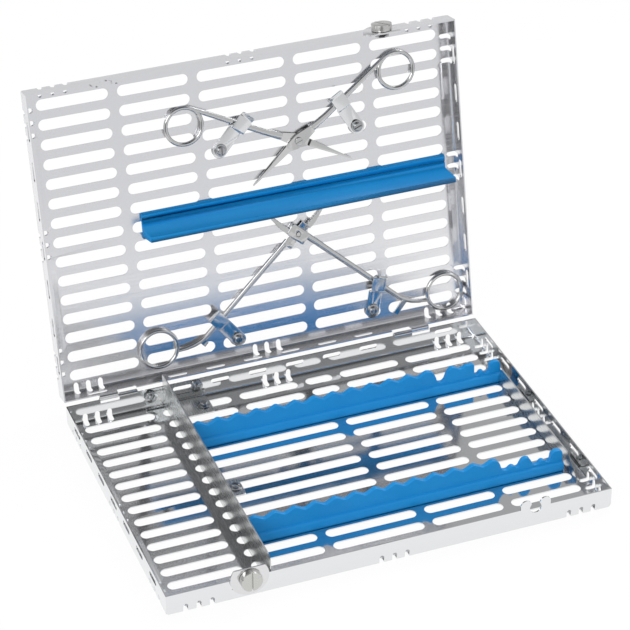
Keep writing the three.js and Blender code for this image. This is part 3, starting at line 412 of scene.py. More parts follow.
trayData = {
    "length": 280,
    "depth": 201.2,
    "height": 14.1,
    "sheet": 0.8,
    "bend": 1.6,
    "bendSteps": 4,
    "rimGap": 0.3,
    "slotMargin": 8.5,
    "columnBar": 5.7,
    "columnShares": (0.19, 0.19, 0.24, 0.19, 0.19),
    "middleShares": (0.1856, 0.4016, 0.2272, 0.1856),
    "rearShares": (0.1946, 0.1946, 0.1675, 0.0774, 0.1713, 0.1946),
    "rowPitch": 12.75,
    "lidRows": ((-7, 7, "columnShares"),),
    "baseRows": ((-7, -4, "columnShares"), (-3, 3, "middleShares"), (4, 7, "rearShares")),
    "slotWidth": 7.3,
    "slotSides": 20,
    "floorCut": 3,
    "wallCut": 4,
    "wallSlot": (12.5, 3.2),
    "wallPitch": 25.5,
    "sideSlots": 7,
    "sideLevel": 9.5,
    "rearSlots": 6,
    "rearLevel": 10,
    "loneSlot": 117,
    "edgeSlot": (8.2, 3.2),
    "edgePitch": 8,
    "edgeGroupsX": (-120.3, 0, 120.3),
    "edgeGroupsY": (-79, 0, 79),
    "cornerSlit": (4.8, 1, 2.4),
    "rimRound": 0.12,
}
halfLength = trayData["length"] / 2
halfDepth = trayData["depth"] / 2
sheet = trayData["sheet"]
wallTop = trayData["height"]

hingeData = {
    "offset": 1.8,
    "drop": 0.8,
    "bore": 0.7,
    "roll": 250,  # degrees round the pin
    "length": 12,
    "gap": 0.5,
    "places": (-105.25, 94.75),
    "cutDepth": 3,
    "fit": 0.3,
}
hingeY = halfDepth + hingeData["offset"]
hingeZ = wallTop - hingeData["drop"]
lidHinge = next(joint for joint in frame["joints"] if joint["name"] == "lid_hinge")
openAngle = math.radians(lidHinge["range_deg"][1])
closedHeight = 2 * wallTop + trayData["rimGap"]

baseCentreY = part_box("base_tray")[0][1] + halfDepth * millimetre
basePlace = Matrix.Translation((0, baseCentreY, 0))
lidTurned = (
    Matrix.Translation((0, hingeY, hingeZ)) @ Matrix.Rotation(-openAngle, 4, "X")
    @ Matrix.Translation((0, -hingeY, closedHeight - hingeZ)) @ Matrix.Rotation(math.pi, 4, "Y"))
panelTurned = (
    lidTurned @ Matrix.Translation((0, halfDepth, sheet)) @ Matrix.Rotation(math.pi, 4, "Z"))


def scaled(turned):
    # the same place with its shift in metres, for finishPiece
    place = turned.copy()
    place.translation *= millimetre
    return basePlace @ place


lidPlace = scaled(lidTurned)
panelPlace = scaled(panelTurned)


# trays

def columnSpans(sharesName):
    shares = trayData[sharesName]
    bars = (len(shares) - 1) * trayData["columnBar"]
    room = trayData["length"] - 2 * trayData["slotMargin"] - bars
    left = trayData["slotMargin"] - halfLength
    spans = []
    for share in shares:
        spans.append((left, left + share * room))
        left = spans[-1][1] + trayData["columnBar"]
    return spans


def floorCutters(rows):
    cutters = []
    pitch = trayData["rowPitch"]
    for first, last, sharesName in rows:
        for left, right in columnSpans(sharesName):
            cutter = slotBlock(right - left, trayData["slotWidth"], trayData["floorCut"])
            placed(cutter, Matrix.Translation(((left + right) / 2, first * pitch, 0)))
            cutters.append(spread(cutter, last - first + 1, (0, pitch, 0)))
    return cutters


def wallCutters():
    length, width = trayData["wallSlot"]
    pitch, depth = trayData["wallPitch"], trayData["wallCut"]
    side = slotBlock(length, width, trayData["length"] + depth, trayData["slotSides"])
    upright = Matrix(((0, 0, 1, 0), (1, 0, 0, 0), (0, 1, 0, 0), (0, 0, 0, 1)))
    first = -(trayData["sideSlots"] - 1) / 2 * pitch
    placed(side, Matrix.Translation((0, first, trayData["sideLevel"])) @ upright)
    spread(side, trayData["sideSlots"], (0, pitch, 0))
    rear = slotBlock(length, width, depth, trayData["slotSides"])
    level, standing = trayData["rearLevel"], Matrix.Rotation(quarter, 4, "X")
    lone = copyOf(rear, Matrix.Translation((trayData["loneSlot"], halfDepth, level)) @ standing)
    first = -(trayData["rearSlots"] - 1) / 2 * pitch
    placed(rear, Matrix.Translation((first, halfDepth, level)) @ standing)
    spread(rear, trayData["rearSlots"], (pitch, 0, 0))
    return [side, rear, lone]


def edgeCutters():
    # drain slots that run across the folds, cut along each fold's bisector
    length, width = trayData["edgeSlot"]
    depth = length + spare
    low = depth / 2 - spare
    diagonal = math.sqrt(0.5)
    across = Matrix((
        (0, -1, 0, 0), (diagonal, 0, -diagonal, 0), (diagonal, 0, diagonal, 0), (0, 0, 0, 1)))
    single = slotBlock(length, width, depth, trayData["slotSides"])
    placed(single, across @ Matrix.Translation((0, 0, low)))
    pitch = trayData["edgePitch"]
    placed(single, Matrix.Translation((-pitch, 0, 0)))
    group = spread(single, 3, (pitch, 0, 0))
    cutters = []
    for side in (0, 1):
        for turn, places, face in (
                (0, trayData["edgeGroupsX"], halfDepth),
                (quarter, trayData["edgeGroupsY"], halfLength)):
            around = Matrix.Rotation(side * math.pi + turn, 4, "Z")
            for at in places:
                cutters.append(copyOf(group, around @ Matrix.Translation((at, face, 0))))
    bpy.data.objects.remove(group)
    return cutters


def slitCutters():
    length, width, height = trayData["cornerSlit"]
    cutters = []
    for sideX, sideY in ((-1, -1), (-1, 1), (1, -1), (1, 1)):
        cutter = block((-length, -width / 2, -spare), (spare, width / 2, height))
        corner = Matrix.Translation((sideX * halfLength, sideY * halfDepth, 0))
        turn = Matrix.Rotation(math.atan2(sideY, sideX), 4, "Z")
        cutters.append(placed(cutter, corner @ turn))
    return cutters


latchData = {
    "x": 90,
    "rise": 0.5,
    "seatRadius": 3.75,
    "neck": 5.4,
    "forkHalfWidth": 9.7,
    "forkRoot": 3,
    "roomWidth": 21,
    "roomDepth": 6.5,
    "plateRadius": 11.8,
    "plateTop": 7,
    "plateThickness": 1,
    "standoff": 0.65,
    "padInset": 0.4,
    "padLevels": (0, 7),
    "padGap": 0.3,
    "cutReach": 20,
    "shaftRadius": 3.3,
    "shaftFlats": 4.8,
    "shaftFit": 0.3,
    "shaftRoot": 0.5,
    "knobRadius": 6.5,
    "knobThickness": 4,
    "knobRound": 0.35,
    "knobGap": 0.3,
    "groove": (1, 1),
    "notchRadius": 0.7,
    "notches": 3,
    "notchShare": 0.25,
    "edgeRound": 0.15,
    "baseTurn": 90,
    "lidTurn": -63,
    "camGap": 0.35,
}
latchZ = wallTop + latchData["rise"]
seatZ = closedHeight - latchZ
latchFaces = (-halfDepth - spare, sheet - halfDepth + spare)


def addFork(shell):
    neck = latchData["neck"] / 2
    level = seatZ + math.sqrt(latchData["seatRadius"] ** 2 - neck ** 2)
    radius = (latchData["forkHalfWidth"] - neck) / 2
    low = wallTop - latchData["forkRoot"]
    for side in (-1, 1):
        centre = latchData["x"] + side * (neck + radius)
        top = level + radius
        thumb = block((centre - radius, -halfDepth, low), (centre + radius, sheet - halfDepth, top))
        bevelEdges(
            thumb, lambda a, b: min(a.z, b.z) > level and abs(a.x - b.x) < hair, radius * 0.995, 10)
        combine(shell, thumb, "UNION")
    combine(shell, roundBar(
        latchData["seatRadius"], *latchFaces, 40, (latchData["x"], seatZ), "y"))


def latchCutters():
    near, far = latchFaces
    x, neck, half = latchData["x"], latchData["neck"] / 2, latchData["roomWidth"] / 2
    low, top = wallTop - latchData["roomDepth"], 2 * wallTop
    return [
        block((x - neck, near, seatZ), (x + neck, far, top)),
        block((-x - half, near, low), (-x + half, far, top)),
    ]


def knuckleSpans(outward):
    near = hingeData["gap"] / 2
    far = near + hingeData["length"]
    low, high = (-far, -near) if outward else (near, far)
    left, right = hingeData["places"]
    return [(left + low, left + high), (right - high, right - low)]


def foldLevel(axisLevel):
    return axisLevel + hingeData["bore"] + sheet - trayData["bend"]


def knuckle(span, axisLevel):
    # an edge of the wall, spun over the rim and round the pin
    foldY = halfDepth - sheet + trayData["bend"]
    foldZ = foldLevel(axisLevel)
    start = min(wallTop, foldZ)
    middle = (span[0] + span[1]) / 2
    along = (1, 0, 0)
    strip = edgeStrip(span[1] - span[0], (middle, halfDepth - sheet / 2, start), (0, 1, 0))
    pick(strip, "EDGE")
    if foldZ - start > hair:
        extrude((0, 0, foldZ - start))
    bpy.ops.mesh.spin(steps=4, angle=quarter, center=(middle, foldY, foldZ), axis=along)
    extrude((0, hingeY - foldY, 0))
    roll = math.radians(hingeData["roll"])
    bpy.ops.mesh.spin(steps=16, angle=roll, center=(middle, hingeY, axisLevel), axis=along)
    leaveEdit()
    return thickened(strip, sheet)


def hingeCutters(own, other, axisLevel):
    foldZ = foldLevel(axisLevel)
    near, far = halfDepth - sheet - spare, halfDepth + spare
    top = max(wallTop, foldZ) + spare
    low = wallTop - hingeData["cutDepth"]
    fit = hingeData["fit"]
    cutters = [block((left - fit, near, low), (right + fit, far, top)) for left, right in other]
    if foldZ < wallTop:
        cutters += [block((left, near, foldZ), (right, far, top)) for left, right in own]
    return cutters


def trayPiece(own, other, axisLevel, rows):
    shell = block((-halfLength, -halfDepth, 0), (halfLength, halfDepth, wallTop))
    deleteWhere(shell, "FACE", lambda at, facing: facing.z > 0.5)
    bevelEdges(shell, lambda a, b: max(a.z, b.z) < hair, trayData["bend"], trayData["bendSteps"])
    applyStep(shell, "SOLIDIFY", thickness=sheet, offset=-1, use_even_offset=True)
    addFork(shell)
    cutters = floorCutters(rows) + wallCutters() + edgeCutters() + slitCutters() + latchCutters()
    combine(shell, joinUp(cutters + hingeCutters(own, other, axisLevel)))
    softenEdges(shell, trayData["rimRound"], 1, 50)
    return joinUp([shell] + [knuckle(span, axisLevel) for span in own])


def mirrored(spans):
    return [(-right, -left) for left, right in spans]


def buildTrays():
    base = trayPiece(knuckleSpans(False), knuckleSpans(True), hingeZ, trayData["baseRows"])
    finishPiece(base, "baseTrayFolded", basePlace, "base", "traySteel", "base_tray")
    print("base tray folded")
    own, other = mirrored(knuckleSpans(True)), mirrored(knuckleSpans(False))
    lid = trayPiece(own, other, closedHeight - hingeZ, trayData["lidRows"])
    finishPiece(lid, "lidTrayFolded", lidPlace, "lid", "lidSteel", "lid_tray")
    print("lid tray folded")


buildTrays()


# latches

def latchPlate():
    thickness, radius, reach = (
        latchData[key] for key in ("plateThickness", "plateRadius", "cutReach"))
    face = -halfDepth - latchData["standoff"] - thickness
    near = face - 2 * spare
    centre = x, z = -latchData["x"], latchZ
    plate = roundBar(radius, face, face + thickness, 72, centre, "y")
    pad = roundBar(
        radius, face + latchData["padInset"], -halfDepth - latchData["padGap"], 72, centre, "y")
    top = z + latchData["plateTop"]
    padLow, padHigh = latchData["padLevels"]
    for piece, low, high in (
            (plate, top, top + reach), (pad, padHigh, top + reach), (pad, -reach, padLow)):
        combine(piece, block((x - reach, near, low), (x + reach, 0, high)))
    combine(plate, pad, "UNION")
    bore = latchData["shaftRadius"] + latchData["shaftFit"]
    combine(plate, roundBar(bore, near, 0, 40, centre, "y"))
    return softenEdges(plate, latchData["edgeRound"])


def latchKnob(turn):
    # made lying with its face up, then stood against the plate
    thickness, radius, gap = (latchData[key] for key in ("knobThickness", "knobRadius", "knobGap"))
    head = roundBar(radius, 0, thickness, 64)
    cutGroove(head, radius, thickness, latchData["groove"], turn)
    for notch in range(latchData["notches"]):
        angle = (notch + latchData["notchShare"]) * 2 * math.pi / latchData["notches"]
        cutter = roundBar(
            latchData["notchRadius"], thickness / 2, thickness + spare, 20, (radius, 0))
        combine(head, placed(cutter, Matrix.Rotation(angle, 4, "Z")))
    softenEdges(head, latchData["knobRound"], 3)
    back = halfDepth + latchData["standoff"] + latchData["plateThickness"] + gap
    reach = back - halfDepth + sheet + latchData["camGap"] - gap
    shaft = roundBar(latchData["shaftRadius"], -reach, latchData["shaftRoot"], 40)
    flat = latchData["shaftFlats"] / 2
    combine(shaft, block((-flat, -10, -reach - spare), (flat, 10, 2)), "INTERSECT")
    knob = joinUp([head, softenEdges(shaft, latchData["edgeRound"])])
    stand = Matrix.Translation((-latchData["x"], -back, latchZ)) @ Matrix.Rotation(quarter, 4, "X")
    return placed(knob, stand)


def buildLatches():
    for owner, place, turn in (("base", basePlace, "baseTurn"), ("lid", lidPlace, "lidTurn")):
        finishPiece(
            latchPlate(), f"{owner}LatchPlate", place, owner, "latchSteel", f"{owner}_latch_plate")
        finishPiece(
            latchKnob(latchData[turn]), f"{owner}LatchKnob", place, f"{owner}_latch", "knobSteel",
            f"{owner}_latch_knob")
    print("latches made")


buildLatches()


# silicone combs and the lid's bar

siliconeShape = {
    "footTop": 7.1,
    "cuts": 3,
    "smoothing": 3,
    "combRound": 0.35,
    "barRound": 0.4,
    "smoothAngle": 40,
}


def mouldedCopy(name, place):
    # a merged copy of a CAD piece, in millimetres at its own body's place
    twin = copyOf(nodes[name], (place @ toMetres).inverted() @ nodes[name].matrix_world)
    faceOutwards(twin)
    pick(twin, "FACE")
    bpy.ops.mesh.dissolve_limited(angle_limit=math.radians(0.5))
    leaveEdit()
    return twin


def combPiece(name):
    # the waves along the top are cut finer and smoothed before the rims are rounded
    comb = mouldedCopy(name, basePlace)
    top = siliconeShape["footTop"] + 0.1
    pick(comb, "EDGE", lambda a, b: min(a.z, b.z) > top and abs(a.y - b.y) < hair)
    bpy.ops.mesh.subdivide(number_cuts=siliconeShape["cuts"], quadcorner="INNERVERT")
    leaveEdit()
    pick(comb, "VERT", lambda at: at.z > top)
    bpy.ops.mesh.vertices_smooth(
        factor=0.5, repeat=siliconeShape["smoothing"], xaxis=False, yaxis=False)
    leaveEdit()
    return softenEdges(comb, siliconeShape["combRound"], 3, 50)


def buildSilicone():
    smooth = siliconeShape["smoothAngle"]
    for name, node in (("frontComb", "front_comb"), ("rearComb", "rear_comb")):
        finishPiece(combPiece(node), name, basePlace, "base", "blueSilicone", node, smooth)
    bar = softenEdges(mouldedCopy("lid_bar", panelPlace), siliconeShape["barRound"], 3, 30)
    finishPiece(bar, "lidBar", panelPlace, "lid", "blueSilicone", "lid_bar", smooth)
    print("combs and bar made")


buildSilicone()


# divider

# heights, in the base, of the folded feet's undersides and of the heads that hold them
footLevel = 1.1
headLevel = 2.2

dividerData = {
    "x": -76,
    "top": 23.8,
    "corner": 6,
    "foot": 1.2,
    "endGap": 0.3,
    "rearLeft": (11.1, 3.5, 12),
    "rearRight": (27, 2.3, 5.5),
    "tongue": (18, 7, 2.3, 13),
    "floorTab": (27.2, 18.5, 88.3),
    "midTab": (16.5, 16, -2),
    "tabCorner": 2.2,
    "round": 0.15,
    "screwHole": 1.55,
    "screwWays": ((-53.5, 87.55), (-63.7, -1.9)),
    "rearScrews": ((-85, 9), (-54.5, 9.8)),
}


def dividerPiece():
    front = dividerData["endGap"] + sheet - halfDepth
    back = -front
    x, top = dividerData["x"], dividerData["top"]
    outer = x - sheet
    upright = block((outer, front, footLevel), (x, back, top))
    bevelEdges(
        upright, lambda a, b: min(a.z, b.z) > top - hair and max(a.y, b.y) < front + hair,
        dividerData["corner"], 12)
    bevelEdges(
        upright, lambda a, b: max(a.z, b.z) < footLevel + hair and abs(a.y - b.y) < hair
        and abs(a.y) > back - hair, dividerData["foot"], 2)
    tabs = []
    for key, side in (("rearLeft", -1), ("rearRight", 1)):
        reach, low, high = dividerData[key]
        ends = (outer - reach, x) if side < 0 else (outer, x + reach)
        tabs.append(block((ends[0], back - sheet, low), (ends[1], back, high)))
    near, width, low, high = dividerData["tongue"]
    tongue = block((x + near, back - sheet, low), (x + near + width, back, high))
    bevelEdges(
        tongue, lambda a, b: min(a.z, b.z) > high - hair and abs(a.x - b.x) < hair, width * 0.45, 6)
    tabs.append(tongue)
    for reach, depth, place in (dividerData["floorTab"], dividerData["midTab"]):
        tab = block(
            (outer, place - depth / 2, footLevel),
            (x + reach, place + depth / 2, footLevel + sheet))
        bevelEdges(
            tab, lambda a, b: min(a.x, b.x) > x + reach - hair and abs(a.y - b.y) < hair,
            dividerData["tabCorner"], 5)
        tabs.append(tab)
    for tab in tabs:
        combine(upright, tab, "UNION")
    bore = dividerData["screwHole"]
    holes = [roundBar(bore, 0, 3, 24, place) for place in dividerData["screwWays"]]
    holes += [
        roundBar(bore, back - 2, back + 2, 24, place, "y") for place in dividerData["rearScrews"]]
    combine(upright, joinUp(holes))
    return softenEdges(upright, dividerData["round"], 2)


# screws, rivets, bolts, pivots and nuts, each with its seat on z = 0

# radius and height of the washer and the head, radius and end of the shank, width and depth of
# the groove, and the head's rounding
fastenerData = {
    "screw": ((4, 0.6), (2.6, 1.8), (1.2, -2.2), (0.7, 0.8), 0.9),
    "rivet": (None, (1.9, 0.9), (1.1, -2.2), None, 0.6),
    "bolt": ((4, 0.6), (2.9, 1.8), (1.5, -5.1), (0.8, 0.8), 1),
    "pivot": (None, (2.6, 0.6), (1.4, -3.1), (0.6, 0.35), 0.2),
}


def fastener(kind, turn=0):
    washer, headSize, shank, groove, dome = fastenerData[kind]
    seat = 0
    pieces = []
    if washer:
        radius, seat = washer
        pieces.append(softenEdges(roundBar(radius, 0, seat, 40), 0.15))
    radius, height = headSize
    top = seat + height
    head = roundBar(radius, seat - 0.1 if seat else 0, top, 40)
    bevelEdges(head, lambda a, b: min(a.z, b.z) > top - hair, dome, 5)
    if groove:
        cutGroove(head, radius, top, groove, turn)
    pieces.append(head)
    radius, low = shank
    pieces.append(roundBar(radius, low, max(seat, 0.2), 20))
    return joinUp(pieces)


nutData = {"flange": (5.25, 0.8), "hexagon": (3.6, 2), "bore": 1.8, "seat": -1.1, "round": 0.25}


def nutPiece():
    seat = nutData["seat"]
    radius, thickness = nutData["flange"]
    step = seat - thickness
    nut = roundBar(radius, step, seat, 48)
    side, height = nutData["hexagon"]
    combine(nut, roundBar(side, step - height, step + thickness / 2, 6), "UNION")
    combine(nut, roundBar(nutData["bore"], step - height - spare, seat + spare, 24))
    return softenEdges(nut, nutData["round"])


def buildDivider():
    finishPiece(dividerPiece(), "dividerSheet", basePlace, "base", "dividerSteel", "divider")
    for number, (x, y) in enumerate(dividerData["screwWays"], 1):
        finishPiece(
            fastener("screw", 25 + 50 * number), f"floorScrew{number}",
            basePlace @ shifted(x, y, headLevel), "base", "fastenerSteel",
            f"divider_floor_screw_{number}")
    for number, (x, z) in enumerate(dividerData["rearScrews"], 1):
        place = basePlace @ shifted(x, halfDepth - headLevel, z) @ Matrix.Rotation(quarter, 4, "X")
        finishPiece(
            fastener("screw", 60 * number), f"rearScrew{number}", place, "base", "fastenerSteel",
            f"divider_rear_screw_{number}")
    print("divider and its screws made")


buildDivider()


# rack end

rackData = {
    "x": 132,
    "top": 12.8,
    "front": -70,
    "back": 43.5,
    "slope": 14,
    "lip": 1.5,
    "footReach": 5.5,
    "footLength": 15,
    "footInset": 12,
    "rivetInset": 2.6,
    "corner": 4,
    "rivetHole": 1.45,
    "round": 0.15,
}


def buildRack():
    x, front, back, top, slope, reach, length, inset = (rackData[key] for key in (
        "x", "front", "back", "top", "slope", "footReach", "footLength", "footInset"))
    rise = block((x, front + slope, footLevel), (x + sheet, back, top))
    wedge = block((x, front, footLevel), (x + sheet, front + slope, top))
    moveWhere(
        wedge, lambda at: at.y < front + hair and at.z > top - hair,
        (0, 0, footLevel + rackData["lip"] - top))
    combine(rise, wedge, "UNION")
    bevelEdges(
        rise, lambda a, b: min(a.z, b.z) > top - hair and min(a.y, b.y) > back - hair,
        rackData["corner"], 6)
    starts = (front + inset, back - inset - length)
    rivets = [(x + reach - rackData["rivetInset"], start + length / 2) for start in starts]
    for start, rivet in zip(starts, rivets):
        foot = block((x, start, footLevel), (x + reach, start + length, footLevel + sheet))
        combine(rise, foot, "UNION")
        combine(rise, roundBar(rackData["rivetHole"], 0, 3, 20, rivet))
    softenEdges(rise, rackData["round"])
    finishPiece(rise, "rackEndStrip", basePlace, "base", "dividerSteel", "rack_end")
    for number, rivet in enumerate(rivets, 1):
        finishPiece(
            fastener("rivet"), f"rackRivet{number}", basePlace @ shifted(*rivet, headLevel), "base",
            "fastenerSteel", f"rack_rivet_{number}")
    print("rack end made")


buildRack()


# clips of the lid

clipData = {
    "width": 9.5,
    "sheet": 0.6,
    "tail": 5.5,
    "level": 4.7,
    "finger": 9.6,
    "lip": (2.2, 1.3),
    "bend": 0.9,
    "lipCorner": 1.9,
    "gap": 0.3,
    "bore": 1.8,
    "rowShift": 1.8,
    "edgeRound": 0.1,
    "places": (
        {"x": -18.4, "row": 3, "share": 1, "turn": 47, "reach": 16},
        {"x": 73.2, "row": 3, "share": 0.47, "turn": 120, "reach": 16.4},
        {"x": -18.9, "row": -7, "share": 1, "turn": 128, "reach": 14.9},
        {"x": 74.5, "row": -7, "share": 0.92, "turn": 77, "reach": 13.2},
    ),
}


def clipPiece(reach):
    # a strip folded up, over and out, along x
    half = clipData["sheet"] / 2
    low = clipData["gap"] + half
    high = clipData["level"] + half
    wide, tail = clipData["width"], clipData["tail"]
    strip = edgeStrip(wide, (-tail, 0, low), (1, 0, 0))
    pick(strip, "EDGE")
    riser = reach + half
    tip = reach + clipData["sheet"] + clipData["finger"]
    lipLong, lipHigh = clipData["lip"]
    for move in (
            (riser + tail, 0, 0), (0, 0, high - low), (tip - riser, 0, 0), (lipLong, 0, lipHigh)):
        extrude(move)
    leaveEdit()
    bevelEdges(
        strip, lambda a, b: abs(a.x - b.x) < hair and abs(a.z - b.z) < hair
        and -tail < a.x < tip + 1, clipData["bend"], 4)
    thickened(strip, clipData["sheet"])

    def corner(a, b):
        return abs(a.x - b.x) < 0.5 and abs(a.y - b.y) < hair and abs(a.y) > wide / 2 - hair

    bevelEdges(strip, lambda a, b: corner(a, b) and a.x < hair - tail, wide / 2 * 0.98, 12)
    bevelEdges(
        strip, lambda a, b: corner(a, b) and a.x > tip + lipLong - 0.4, clipData["lipCorner"], 5)
    combine(strip, roundBar(clipData["bore"], -1, 3, 24))
    return softenEdges(strip, clipData["edgeRound"], 2, 60)


def buildClips():
    seat = shifted(0, 0, 2 * clipData["gap"] + clipData["sheet"])
    for number, data in enumerate(clipData["places"], 1):
        across = data["row"] * trayData["rowPitch"] + data["share"] * clipData["rowShift"]
        place = panelPlace @ shifted(data["x"], halfDepth + across, 0)
        place = place @ Matrix.Rotation(math.radians(data["turn"]), 4, "Z")
        finishPiece(
            clipPiece(data["reach"]), f"clipStrip{number}", place, f"clip_{number}", "clipSteel",
            f"clip_{number}")
        finishPiece(
            fastener("bolt", 40 * number), f"clipBolt{number}", place @ seat, "lid",
            "fastenerSteel", f"clip_bolt_{number}")
        finishPiece(
            nutPiece(), f"clipNut{number}", place, "lid", "fastenerSteel", f"clip_nut_{number}")
    print("clips made")


buildClips()


# instruments

def sweepBar(stations, sides):
    # a section drawn out from station to station: x, y, z, half width, half thickness
    deselectAll()
    x, y, z, wide, thick = stations[0]
    bpy.ops.mesh.primitive_circle_add(
        vertices=sides, fill_type="NGON", location=(x, y, z),
        rotation=(quarter, math.pi / sides if sides == 4 else 0, 0))
    bar = bpy.context.active_object
    if sides == 4:
        corner = math.sqrt(2)
        wide, thick = wide * corner, thick * corner
    bpy.ops.object.transform_apply(location=False)
    bar.scale = (wide, 1, thick)
    applyPlace(bar)
    pick(bar, "FACE")
    for before, after in zip(stations, stations[1:]):
        extrude([after[axis] - before[axis] for axis in range(3)])
        ratio = (after[3] / before[3], 1, after[4] / before[4])
        bpy.ops.transform.resize(value=ratio, center_override=after[:3])
    leaveEdit()
    return faceOutwards(bar)


def fingerRing(x, y, z, radius, wire):
    return added(
        bpy.ops.mesh.primitive_torus_add, major_radius=radius - wire / 2, minor_radius=wire / 2,
        major_segments=64, minor_segments=18, location=(x, y, z))


scissorsData = {
    "x": 32.7,
    "place": 137.7,
    "turns": (-52.4, 61.3),
    "rise": 0.6,
    "thickness": 2.8,
    "lapGap": 0.3,
    "bladeLength": 40,
    "ring": (15, 75.7, 13.2),
    "round": 0.25,
    "bore": 1.7,
}


def scissorsHalf(side):
    # the half whose ring is on the positive side laps over the other
    rise, thickness, gap = (scissorsData[key] for key in ("rise", "thickness", "lapGap"))
    half = thickness / 2
    middle = rise + half
    lapHalf = (half - gap / 2) / 2
    lapZ = middle + side * (gap / 2 + lapHalf)
    tip = -scissorsData["bladeLength"]
    blade = sweepBar([
        (-side * 0.8, tip, middle, 0.12, half * 0.35),
        (-side * 0.9, tip + 3, middle, 0.5, half * 0.6),
        (-side * 1.135, -24.8, middle, 1.1, half * 0.9),
        (-side * 1.4, -8.02, middle, 2.2, half),
        (-side * 1.4, -8, lapZ, 2.2, lapHalf),
        (-side * 0.3, -3.6, lapZ, 3.7, lapHalf),
        (0, 0, lapZ, 4, lapHalf),
        (0, 3.6, lapZ, 3.8, lapHalf),
        (side * 0.9, 12, lapZ, 2.4, lapHalf),
    ], 4)
    combine(blade, roundBar(scissorsData["bore"], rise - spare, rise + thickness + spare, 24))
    softenEdges(blade, scissorsData["round"])
    ringX, ringY, ringRadius = scissorsData["ring"]
    nearRing = side * (ringX - ringRadius + half)
    shank = sweepBar([
        (side * 0.8, 11.6, middle, 2.3, half * 0.8),
        (side * 0.95, 13, middle, 2.5, half),
        (side * 1.8, 24, middle, 2.1, half),
        (side * 2.3, 44, middle, 1.85, half),
        (side * 2.75, 62.5, middle, 1.7, half),
        (nearRing, ringY, middle, 1.4, half),
    ], 20)
    ring = fingerRing(side * ringX, ringY, middle, ringRadius, thickness)
    return joinUp([blade, shank, ring])


holderData = {
    "x": 27,
    "place": 76.3,
    "turns": (-48.5, 47.4),
    "rise": 0.6,
    "wire": 2.8,
    "jaw": (23, 3.8, 1.6, 0.2),
    "jawStraight": 0.35,  # share of the jaw that keeps its width
    "teeth": (7, 0.45),
    "box": (8.4, 14, 3.9, 1.26),
    "window": (1.7, 11),
    "waist": (6, 15.4),
    "collars": (3, 0.6),
    "gap": 0.3,
    "shankEnd": 88,
    "ring": (22, 113, 13.6),
    "ringJoin": 0.83,  # share of half a turn round the ring
    "shankShift": 2.2,
    "ratchet": (8, 92, 3.4),
    "ratchetTeeth": (0.45, 1.2, 1.4, 4),
    "rounds": {"box": 0.3, "waist": 0.2, "jaw": 0.12, "ratchet": 0.15},
    "bore": 1.7,
}
holderHalf = holderData["wire"] / 2
holderLevel = holderData["rise"] + holderHalf


def holderJaw(side, start):
    length, wide, tip, gap = holderData["jaw"]
    mark = start + (length - start) * holderData["jawStraight"]
    piece = sweepBar([
        (side * (edge + gap) / 2, y, holderLevel, (edge - gap) / 2, holderHalf * share)
        for edge, y, share in ((wide, start, 1), (wide, mark, 1), (tip, length, 0.9))], 4)
    count, depth = holderData["teeth"]
    step = (length - start - 1) / count
    tooth = block((-depth, -depth, holderLevel - 3), (depth, depth, holderLevel + 3))
    corner = math.sqrt(0.5)
    place = Matrix.Translation((side * gap, start + 1 + step / 2, 0))
    place = place @ Matrix.Rotation(quarter / 2, 4, "Z")
    placed(tooth, place @ Matrix.Diagonal((corner, corner, 1, 1)))
    combine(piece, spread(tooth, count, (0, step, 0)))
    return softenEdges(piece, holderData["rounds"]["jaw"], 1)


def holderShank(side, start):
    ringX, ringY, ringRadius = holderData["ring"]
    angle = math.pi * holderData["ringJoin"]
    edge = ringRadius - holderHalf
    joinX = side * (ringX + edge * math.cos(angle))
    joinY = edge * math.sin(angle) - ringY
    end = -holderData["shankEnd"]
    shift = side * holderData["shankShift"]
    stations = (
        (shift, start, 2.2),
        (shift, start - 4, 2.1),
        (shift, -50, 1.9),
        (shift, end, 1.7),
        (shift + side * 0.9, end - 4.5, 1.7),
        (shift + side * 2.8, (end + joinY) / 2, 1.7),
        (shift + side * 5.6, (end + 3 * joinY) / 4, 1.65),
        (joinX, joinY, 1.5),
    )
    shank = sweepBar([(x, y, holderLevel, wide, holderHalf) for x, y, wide in stations], 20)
    return [shank, fingerRing(side * ringX, -ringY, holderLevel, ringRadius, 2 * holderHalf)]


def ratchetBar(side):
    reach, place, width = holderData["ratchet"]
    tooth, inset, step, count = holderData["ratchetTeeth"]
    gap = holderData["gap"] / 2
    face = holderLevel + side * gap
    low, high = sorted((face, holderLevel + side * holderHalf))
    ends = sorted((side * holderData["shankShift"], -side * reach))
    bar = block((ends[0], -place - width / 2, low), (ends[1], width / 2 - place, high))
    cutter = block((-tooth, -width, -tooth), (tooth, width, tooth))
    start = Matrix.Translation((-side * (reach - inset), -place, face))
    placed(cutter, start @ Matrix.Rotation(quarter / 2, 4, "Y"))
    combine(bar, spread(cutter, count, (side * step, 0, 0)))
    return softenEdges(bar, holderData["rounds"]["ratchet"], 1)


def centred(width, length, thickness):
    # a block round the needle holder's pin
    return block(
        (-width / 2, -length / 2, holderLevel - thickness / 2),
        (width / 2, length / 2, holderLevel + thickness / 2))


def boxHalf(side):
    width, length, thickness, corner = holderData["box"]
    box = centred(width, length, thickness)
    bevelEdges(box, lambda a, b: abs(a.z - b.z) > 1, corner, 4)
    window, windowLength = holderData["window"]
    combine(box, centred(2 * width, windowLength, window))
    combine(box, roundBar(holderData["bore"], -5, 9, 24))
    softenEdges(box, holderData["rounds"]["box"], 3)
    return joinUp([
        box, holderJaw(-side, length / 2 - corner), *holderShank(side, -length / 2 + 1),
        ratchetBar(side)])


